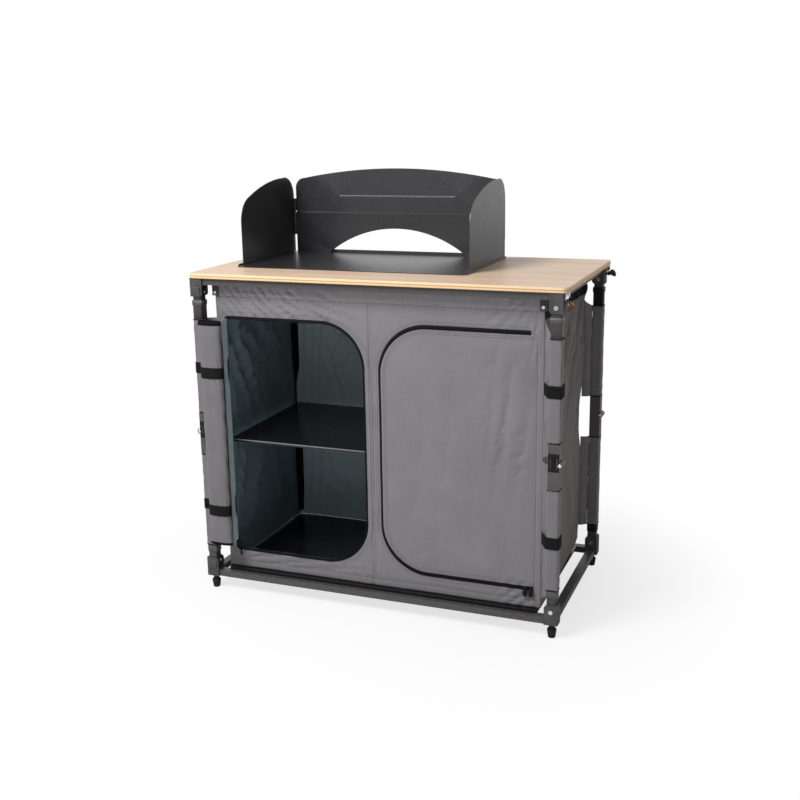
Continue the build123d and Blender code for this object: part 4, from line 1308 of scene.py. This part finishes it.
def neck_spot(u, v):
    return neck_width * u, roll_low.z + roll_length * v


def neck_point(across, z):
    u = across / neck_width
    point = neck_start.lerp(neck_end, u)
    tied = 0.0040 * (1 - u) * roll_pinch(z)
    sag = 0.0015 * sin(pi * u) * (1 + soft_noise(u, z, 0.06, 51))
    ripple = 0.0009 * sin(z * 150 + 3 * soft_noise(u, z, 0.10, 52)) * sin(pi * u)
    return Vector((point.x - tied - sag - ripple, point.y, z))


roll_neck = grid_sheet("roll_neck", 10, 140, neck_spot, neck_point, ["cloth", "neck_cloth_painted_light"])
thicken(roll_neck, 0.0010, 1)
sink(roll_neck)


# Loose tail of the roll's tie, hanging over the hem

tail_points = []
for step in range(14):
    share = step / 13
    x = -0.3725 + 0.0050 * share + 0.0012 * sin(5 * share)
    tail_points.append(front_point(x, 0.1360 - 0.0500 * share, 0.0030 - 0.0012 * share))
sink(tube("roll_tie_tail", tail_points, 0.0021, "strap", 8, False, 0.4))


# Straps of webbing: two round the roll, two round the right front leg and two tabs on the left


def strap_levels(low_z, high_z, lift):
    """Heights of a strap's rings and how far each stands out, with rounded edges."""
    return (
        (low_z, 0.0),
        (low_z + 0.0008, 0.8 * lift),
        (low_z + 0.0022, lift),
        (high_z - 0.0022, lift),
        (high_z - 0.0008, 0.8 * lift),
        (high_z, 0.0),
    )


def roll_strap(name, low_z, high_z):
    middle = (low_z + high_z) / 2
    rings = []
    for z, lift in strap_levels(low_z, high_z, 0.0011):
        ring = [roll_ring(middle, angle, lift - 0.0004) for angle in even_angles(96)]
        for point in ring:
            point.z = z
        rings.append(ring)
    strap = loft(name, rings, ["strap"], roll_girth)
    thicken(strap, 0.0009)
    sink(strap)
    for index, angle in enumerate((228, 252)):
        line = []
        for step in range(1, int((high_z - low_z) / 0.003)):
            point = roll_ring(middle, radians(angle), 0.0008)
            point.z = low_z + 0.003 * step
            line.append(point)
        sink(stitching(f"{name}_stitches_{index}", line, "thread", 0.0022, 0.0012))
    return strap


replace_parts(roll_strap("roll_strap_low", *strap_bands[0]), "roll_straps")
roll_strap("roll_strap_high", *strap_bands[1])


def leg_tab(name, x_side, y_side, low_z, high_z, body):
    """A short band of webbing sewn round a sleeve."""
    rings = [
        square_ring(x_side * leg_x, y_side * leg_y, sleeve_half + 0.0002 + lift, z, 64)
        for z, lift in strap_levels(low_z, high_z, 0.0010)
    ]
    fix_to(loft(name, rings, ["strap"], 8 * sleeve_half), body)


def corner_strap(name, low_z, high_z, body):
    """A strap from the cupboard's corner round the right front leg and back behind the web."""
    reach = sleeve_half + 0.0018
    corners = (
        (cupboard_x + 0.0015, -cupboard_y - 0.0050),
        (leg_x - reach, -leg_y - reach + 0.001),
        (leg_x + reach, -leg_y - reach),
        (leg_x + reach, -leg_y + reach),
        (leg_x - reach + 0.003, -leg_y + reach),
    )
    path = []
    for index, (x, y) in enumerate(corners):
        spot = Vector((x, y, 0))
        if index in (0, len(corners) - 1):
            path.append(spot)
            continue
        before = Vector((*corners[index - 1], 0))
        after = Vector((*corners[index + 1], 0))
        start = spot + 0.0045 * (before - spot).normalized()
        end = spot + 0.0045 * (after - spot).normalized()
        for step in range(7):
            share = step / 6
            path.append(start.lerp(spot, share).lerp(spot.lerp(end, share), share))
    bm = bmesh.new()
    levels = strap_levels(low_z, high_z, 0.0011)
    rows = []
    for z, lift in levels:
        row = []
        for index, point in enumerate(path):
            ahead = path[min(index + 1, len(path) - 1)] - path[max(index - 1, 0)]
            out = Vector((ahead.y, -ahead.x, 0)).normalized()
            row.append(bm.verts.new(point + (lift - 0.0004) * out + Vector((0, 0, z))))
        rows.append(row)
    lengths = lengths_along(path)
    skin(bm, rows, lambda level, index: (lengths[index], levels[level][0]))
    strap = add_object(name, bm, ["strap"])
    thicken(strap, 0.0010)
    fix_to(strap, body)


corner_strap("leg_strap_low", 0.216, 0.244, "lower_leg_front_right")
corner_strap("leg_strap_high", 0.560, 0.588, "upper_leg_front_right")
for (low_z, high_z), name, band in zip(strap_bands, ("leg_tab_low", "leg_tab_high"), ("lower", "upper")):
    leg_tab(name, -1, -1, low_z + 0.006, high_z + 0.006, f"{band}_leg_front_left")


# Shelf and base board: piping along their cloth covers' edges, light but for a dark one at the front of the
# base board


def board_piping(name, low, high, y, body, material="piping"):
    line = [Vector((low.x + 0.010 + (high.x - low.x - 0.020) * step / 60, y, high.z)) for step in range(61)]
    fix_to(tube(name, line, 0.0015, material, 8), body)


board_piping("shelf_piping_front", shelf_low, shelf_high, shelf_low.y + 0.0005, "shelf")
board_piping("shelf_piping_back", shelf_low, shelf_high, shelf_high.y - 0.0005, "shelf")
board_piping("board_piping_front", board_low, board_high, board_low.y - 0.0008, "base", "tape")
board_piping("board_piping_back", board_low, board_high, board_high.y - 0.0005, "base")


# Frame details: collars on the legs, screws in the brackets, heads of the knee pins


def disc(name, centre, axis, radius, height, material, dish=0.0, sides=32):
    """A round head that faces along an axis, domed, with a rounded rim and an optional dish."""
    turn = Vector((0, 0, 1)).rotation_difference(Vector(axis)).to_matrix()
    profile = (
        (radius, 0.0),
        (radius, 0.35 * height),
        (0.94 * radius, 0.72 * height),
        (0.80 * radius, 0.93 * height),
        (0.55 * radius, height),
        (0.28 * radius, height - 0.6 * dish),
    )
    rings = []
    for distance, level in profile:
        rings.append([
            centre + turn @ Vector((distance * cos(angle), distance * sin(angle), level))
            for angle in even_angles(sides)
        ])
    tip = centre + turn @ Vector((0, 0, height - dish))
    return loft(name, rings, [material], 2 * pi * radius, (None, tip))


knee_z = 0.411
pin_x = leg_x + 0.014
pin_y = 0.0145
bracket_inner_x = 0.4185
hanger_x = 0.3995
hanger_face_y = 0.2070
hanger_rivet_z = 0.7515
collars = (
    ("upper_leg", ((0.6905, 0.0114), (0.6910, 0.0125), (0.7222, 0.0125), (0.7228, 0.0138),
                   (0.7345, 0.0138), (0.7352, 0.0114))),
    ("lower_leg", ((0.0968, 0.0114), (0.0974, 0.0127), (0.1150, 0.0127), (0.1156, 0.0114))),
)


def steel_head(name, place, axis, radius, height, dish, body):
    fix_to(disc(name, Vector(place), axis, radius, height, "steel", dish), body)


for corner, (x_side, y_side) in leg_sides.items():
    middle_y = y_side * leg_y
    for body, levels in collars:
        rings = [square_ring(x_side * leg_x, middle_y, half, z) for z, half in levels]
        # The front legs' collars take the lighter housing paint and the back legs' collars the black plastic:
        # painted light at the front, painted shade at the back.
        collar = loft(f"leg_end_{body}_{corner}", rings, ["housing" if y_side < 0 else "latch"], 0.1)
        fix_to(collar, f"{body}_{corner}")
    for side, end in ((-1, "front"), (1, "back")):
        spot = (x_side * pin_x, middle_y + side * pin_y, knee_z)
        name = f"knee_pin_head_{corner}_{end}"
        steel_head(name, spot, (0, side, 0), 0.0041, 0.0009, 0.0004, f"lower_leg_{corner}")
    for body, z in (("base", 0.0735), ("top_frame", 0.7542)):
        spot = (x_side * bracket_inner_x, middle_y, z)
        steel_head(f"bracket_stud_{body}_{corner}", spot, (-x_side, 0, 0), 0.0034, 0.0012, 0.0004, body)
    spot = (x_side * hanger_x, y_side * hanger_face_y, hanger_rivet_z)
    steel_head(f"hanger_rivet_{corner}", spot, (0, y_side, 0), 0.0040, 0.0008, 0.0003, "top_frame")


# Black plates round the knee latches


def latch_frame(corner, y_side):
    """A plate with a window, on the outer face of the upper knee housing round its latch."""
    latch_low, latch_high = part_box(f"knee_latch_{corner}")
    house_low, house_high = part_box(f"upper_knee_housing_{corner}")
    middle_x = (latch_low.x + latch_high.x) / 2
    face_y = house_low.y if y_side < 0 else house_high.y
    low_z = latch_low.z - 0.0005
    high_z = latch_high.z + 0.0005
    window = ((latch_high.x - latch_low.x) / 2 + 0.0005, low_z, high_z)
    rim = (0.0118, low_z - 0.0060, high_z + 0.0085)
    bm = bmesh.new()
    loops = []
    for (half_x, low, high), out in ((rim, 0.0), (rim, 0.0016), (window, 0.0016), (window, 0.0)):
        corners = ((-half_x, low), (half_x, low), (half_x, high), (-half_x, high))
        loops.append([bm.verts.new((middle_x + x, face_y + y_side * out, z)) for x, z in corners])
    skin(bm, loops, closed=True, looped=True)
    fix_to(add_solid(f"latch_frame_{corner}", bm, ["latch"], False), f"upper_leg_{corner}")


for corner, (x_side, y_side) in leg_sides.items():
    latch_frame(corner, y_side)


# Loops on the pull tabs of the zip

for end in ("outer", "inner"):
    tab_low, tab_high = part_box(f"pull_tab_{end}")
    middle = (tab_low + tab_high) / 2
    ring = []
    for angle in even_angles(24):
        x = middle.x + 0.0038 * rounded(cos(angle), 0.5)
        z = tab_low.z + 0.0062 + 0.0078 * rounded(sin(angle), 0.5)
        ring.append(Vector((x, middle.y, z)))
    fix_to(tube(f"tab_loop_{end}", ring, 0.0012, "zip", 8, True), f"tab_{end}")


# Plain moulded caps over the rivets of the left front brackets


def rivet_cap(name, z, body):
    """A shallow rounded pad on the front face of a left bracket."""
    levels = ((0.0, 0.0118), (0.0014, 0.0118), (0.0024, 0.0110), (0.0026, 0.0096))
    face_y = -leg_y - 0.0150
    rings = []
    for out, half in levels:
        outline_points = square_ring(-leg_x, z, half, 0)
        rings.append([Vector((point.x, face_y - out, point.y)) for point in outline_points])
    tip = Vector((-leg_x, face_y - levels[-1][0], z))
    fix_to(loft(name, rings, ["bracket"], 0.1, (None, tip)), body)


rivet_cap("rivet_cap_low", 0.066, "base")
rivet_cap("rivet_cap_high", 0.756, "top_frame")


# Toggle latches: a spoon-shaped grip on each lever and a folded plate over each bail

lever_pin = Vector((0.454, -leg_y, 0.768))


def spoon(name, material):
    """The lever's grip in its closed place: an oval cup, thick at its middle."""
    rows = (
        (-0.0006, 0.0050, 0.0022),
        (-0.0014, 0.0078, 0.0056),
        (-0.0030, 0.0100, 0.0094),
        (-0.0064, 0.0114, 0.0122),
        (-0.0100, 0.0116, 0.0118),
        (-0.0160, 0.0098, 0.0084),
        (-0.0194, 0.0060, 0.0034),
    )
    rings = []
    for rise, half_width, depth in rows:
        ring = []
        for angle in even_angles(32):
            y = half_width * rounded(cos(angle), 0.8)
            x = 0.0028 + depth * max(0.0, sin(angle)) ** 0.8 + 0.0006 * min(0.0, sin(angle))
            ring.append(lever_pin + Vector((x, y, rise)))
        rings.append(ring)
    ends = [sum(ring, Vector()) / len(ring) for ring in (rings[0], rings[-1])]
    return loft(name, rings, [material], 0.04, tuple(ends))


def bail_plate(name, y):
    """A folded steel plate with two splayed sides, from the tabletop down to the lever."""
    half_high, high_z = 0.0050, 0.7880
    half_low, low_z = 0.0084, 0.7758
    back_x, front_x, wing_x = 0.4538, 0.4550, 0.4580
    thick = 0.0012
    splay = 0.0008
    right_side = ((0.0, 0.7820), (0.0058, low_z), (half_low, low_z), (half_high, high_z))
    outline_points = [(-across, z) for across, z in reversed(right_side[1:])] + list(right_side)
    bm = bmesh.new()
    prism(bm, [[(x, y + across, z) for across, z in outline_points] for x in (back_x, front_x)])
    for side in (-1, 1):
        loops = []
        for x, spread in ((front_x, 0.0), (wing_x, splay)):
            corners = (
                (half_high, high_z), (half_high - thick, high_z), (half_low - thick, low_z), (half_low, low_z)
            )
            loops.append([(x, y + side * (across + spread), z) for across, z in corners])
        prism(bm, loops)
    fix_to(add_solid(name, bm, ["steel"], False), "top_frame")


fix_to(spoon("lever_grip_front", "bronze"), "lever_front")
back_spoon = spoon("lever_grip_back", "latch")
back_pin = Vector((lever_pin.x, leg_y, lever_pin.z))
swing = Matrix.Rotation(radians(-65), 4, "Y")
back_spoon.data.transform(Matrix.Translation(back_pin) @ swing @ Matrix.Translation(-lever_pin))
fix_to(back_spoon, "lever_back")
bail_plate("bail_plate_front", -leg_y)
bail_plate("bail_plate_back", leg_y)


# Lip behind the slot of the back screen, bent back from its lower edge

slot_low = Vector((-0.2545, 0.2130, 0.9485))
lip_length = 0.318
lip_profile = (
    (0.0, -0.0006), (0.0016, 0.0002), (0.0034, 0.0016), (0.0030, 0.0024), (0.0012, 0.0012), (0.0, 0.0006)
)
lip_bm = bmesh.new()
lip_rows = []
for y, z in lip_profile:
    steps = [lip_length * step / 40 for step in range(41)]
    lip_rows.append([lip_bm.verts.new(slot_low + Vector((x, y, z))) for x in steps])
skin(lip_bm, lip_rows, looped=True)
fix_to(add_solid("slot_lip", lip_bm, ["screen"]), "windshield")


# Materials of the CAD nodes

node_materials = {
    "bamboo": ("tabletop",),
    "board": ("base_board", "shelf_board"),
    "frame": ("bottom_rails", "top_rails"),
    "bracket": ("bottom_brackets", "top_brackets", "cloth_hangers"),
    "steel": ("bottom_rivets", "top_rivets", "tabletop_catches"),
    "bronze": ("toggle_lever_front", "toggle_lever_back"),
    "screen": ("screen_plate", "back_screen", "wing_left", "wing_right"),
    "zip": ("zip_slider_outer", "zip_slider_inner", "pull_tab_outer", "pull_tab_inner"),
}
for material, nodes in node_materials.items():
    for node in nodes:
        dress(node, material)
for corner in leg_sides:
    for band in ("lower", "upper"):
        dress(f"{band}_leg_tube_{corner}", "frame")
        dress(f"{band}_knee_housing_{corner}", "housing")
    dress(f"knee_latch_{corner}", "latch")
    dress(f"foot_{corner}", "rubber")


# Floor, light and camera


def area_light(name, place, target, size, power):
    light = bpy.data.lights.new(name, "AREA")
    light.energy = power
    light.size = size
    lamp = bpy.data.objects.new(name, light)
    lamp.location = place
    lamp.rotation_euler = (Vector(target) - Vector(place)).to_track_quat("-Z", "Y").to_euler()
    bpy.context.scene.collection.objects.link(lamp)


floor_mesh = bpy.data.meshes.new("floor")
floor_mesh.from_pydata([(-9, -9, 0), (9, -9, 0), (9, 9, 0), (-9, 9, 0)], [], [(0, 1, 2, 3)])
floor = bpy.data.objects.new("floor", floor_mesh)
bpy.context.scene.collection.objects.link(floor)
floor_shader = Shader("floor", rgb(240, 240, 241), 0.75, specular=0.15)
floor_place = floor_shader.space("Object")
floor_shader.colour(floor_shader.ramp(
    floor_shader.noise(floor_place, 1.1, 2.0), (0.3, rgb(243, 243, 244)), (0.7, rgb(247, 247, 248))
))

# Away from the object the floor fades into the white background, for the camera only
distance = floor_shader.add("ShaderNodeVectorMath", operation="LENGTH")
floor_shader.join(floor_place, distance.inputs[0])
fade = floor_shader.add("ShaderNodeMapRange", interpolation_type="SMOOTHSTEP")
for socket, value in (("From Min", 0.40), ("From Max", 0.95), ("To Min", 0.74), ("To Max", 1.0)):
    fade.inputs[socket].default_value = value
floor_shader.join(distance.outputs["Value"], fade.inputs["Value"])
floor_rays = floor_shader.add("ShaderNodeLightPath")
direct, through = [floor_rays.outputs[f"Is {kind} Ray"] for kind in ("Camera", "Transmission")]
seen = floor_shader.math("MAXIMUM", direct, through)
share = floor_shader.math("MULTIPLY", fade.outputs["Result"], seen)
glow = floor_shader.add("ShaderNodeEmission")
floor_mix = floor_shader.add("ShaderNodeMixShader")
floor_shader.join(share, floor_mix.inputs["Fac"])
floor_shader.join(floor_shader.surface.outputs["BSDF"], floor_mix.inputs[1])
floor_shader.join(glow.outputs["Emission"], floor_mix.inputs[2])
floor_shader.join(floor_mix.outputs["Shader"], floor_shader.tree.nodes["Material Output"].inputs["Surface"])
floor_mesh.materials.append(floor_shader.material)

world = bpy.data.worlds.new("studio")
world.use_nodes = True
tree = world.node_tree
soft_light = tree.nodes["Background"]
white = tree.nodes.new("ShaderNodeBackground")
for node, strength in ((soft_light, 0.34), (white, 1.0)):
    node.inputs["Color"].default_value = (1, 1, 1, 1)
    node.inputs["Strength"].default_value = strength
rays = tree.nodes.new("ShaderNodeLightPath")
choose = tree.nodes.new("ShaderNodeMixShader")
previous = rays.outputs["Is Camera Ray"]
for kind in ("Is Glossy Ray", "Is Transmission Ray"):
    either = tree.nodes.new("ShaderNodeMath")
    either.operation = "MAXIMUM"
    tree.links.new(previous, either.inputs[0])
    tree.links.new(rays.outputs[kind], either.inputs[1])
    previous = either.outputs["Value"]
tree.links.new(previous, choose.inputs["Fac"])
tree.links.new(soft_light.outputs["Background"], choose.inputs[1])
tree.links.new(white.outputs["Background"], choose.inputs[2])
tree.links.new(choose.outputs["Shader"], tree.nodes["World Output"].inputs["Surface"])
bpy.context.scene.world = world

area_light("key", (-0.80, -1.70, 2.40), (0, 0, 0.5), 1.0, 72)

camera_data = bpy.data.cameras.new("camera")
camera_data.lens = camera_lens
camera_data.sensor_width = 36
camera_data.clip_end = 60
camera = bpy.data.objects.new("camera", camera_data)
bpy.context.scene.collection.objects.link(camera)
turn = radians(camera_turn)
tilt = radians(camera_tilt)
forward = Vector((sin(turn) * cos(tilt), cos(turn) * cos(tilt), -sin(tilt)))
right = Vector((cos(turn), -sin(turn), 0))
up = right.cross(forward)
roll = radians(camera_roll)
right, up = cos(roll) * right + sin(roll) * up, cos(roll) * up - sin(roll) * right
axes = Matrix((right, up, -forward)).transposed()
camera.matrix_world = Matrix.Translation(camera_place) @ axes.to_4x4()
bpy.context.scene.camera = camera
bpy.context.scene.view_settings.view_transform = "Standard"
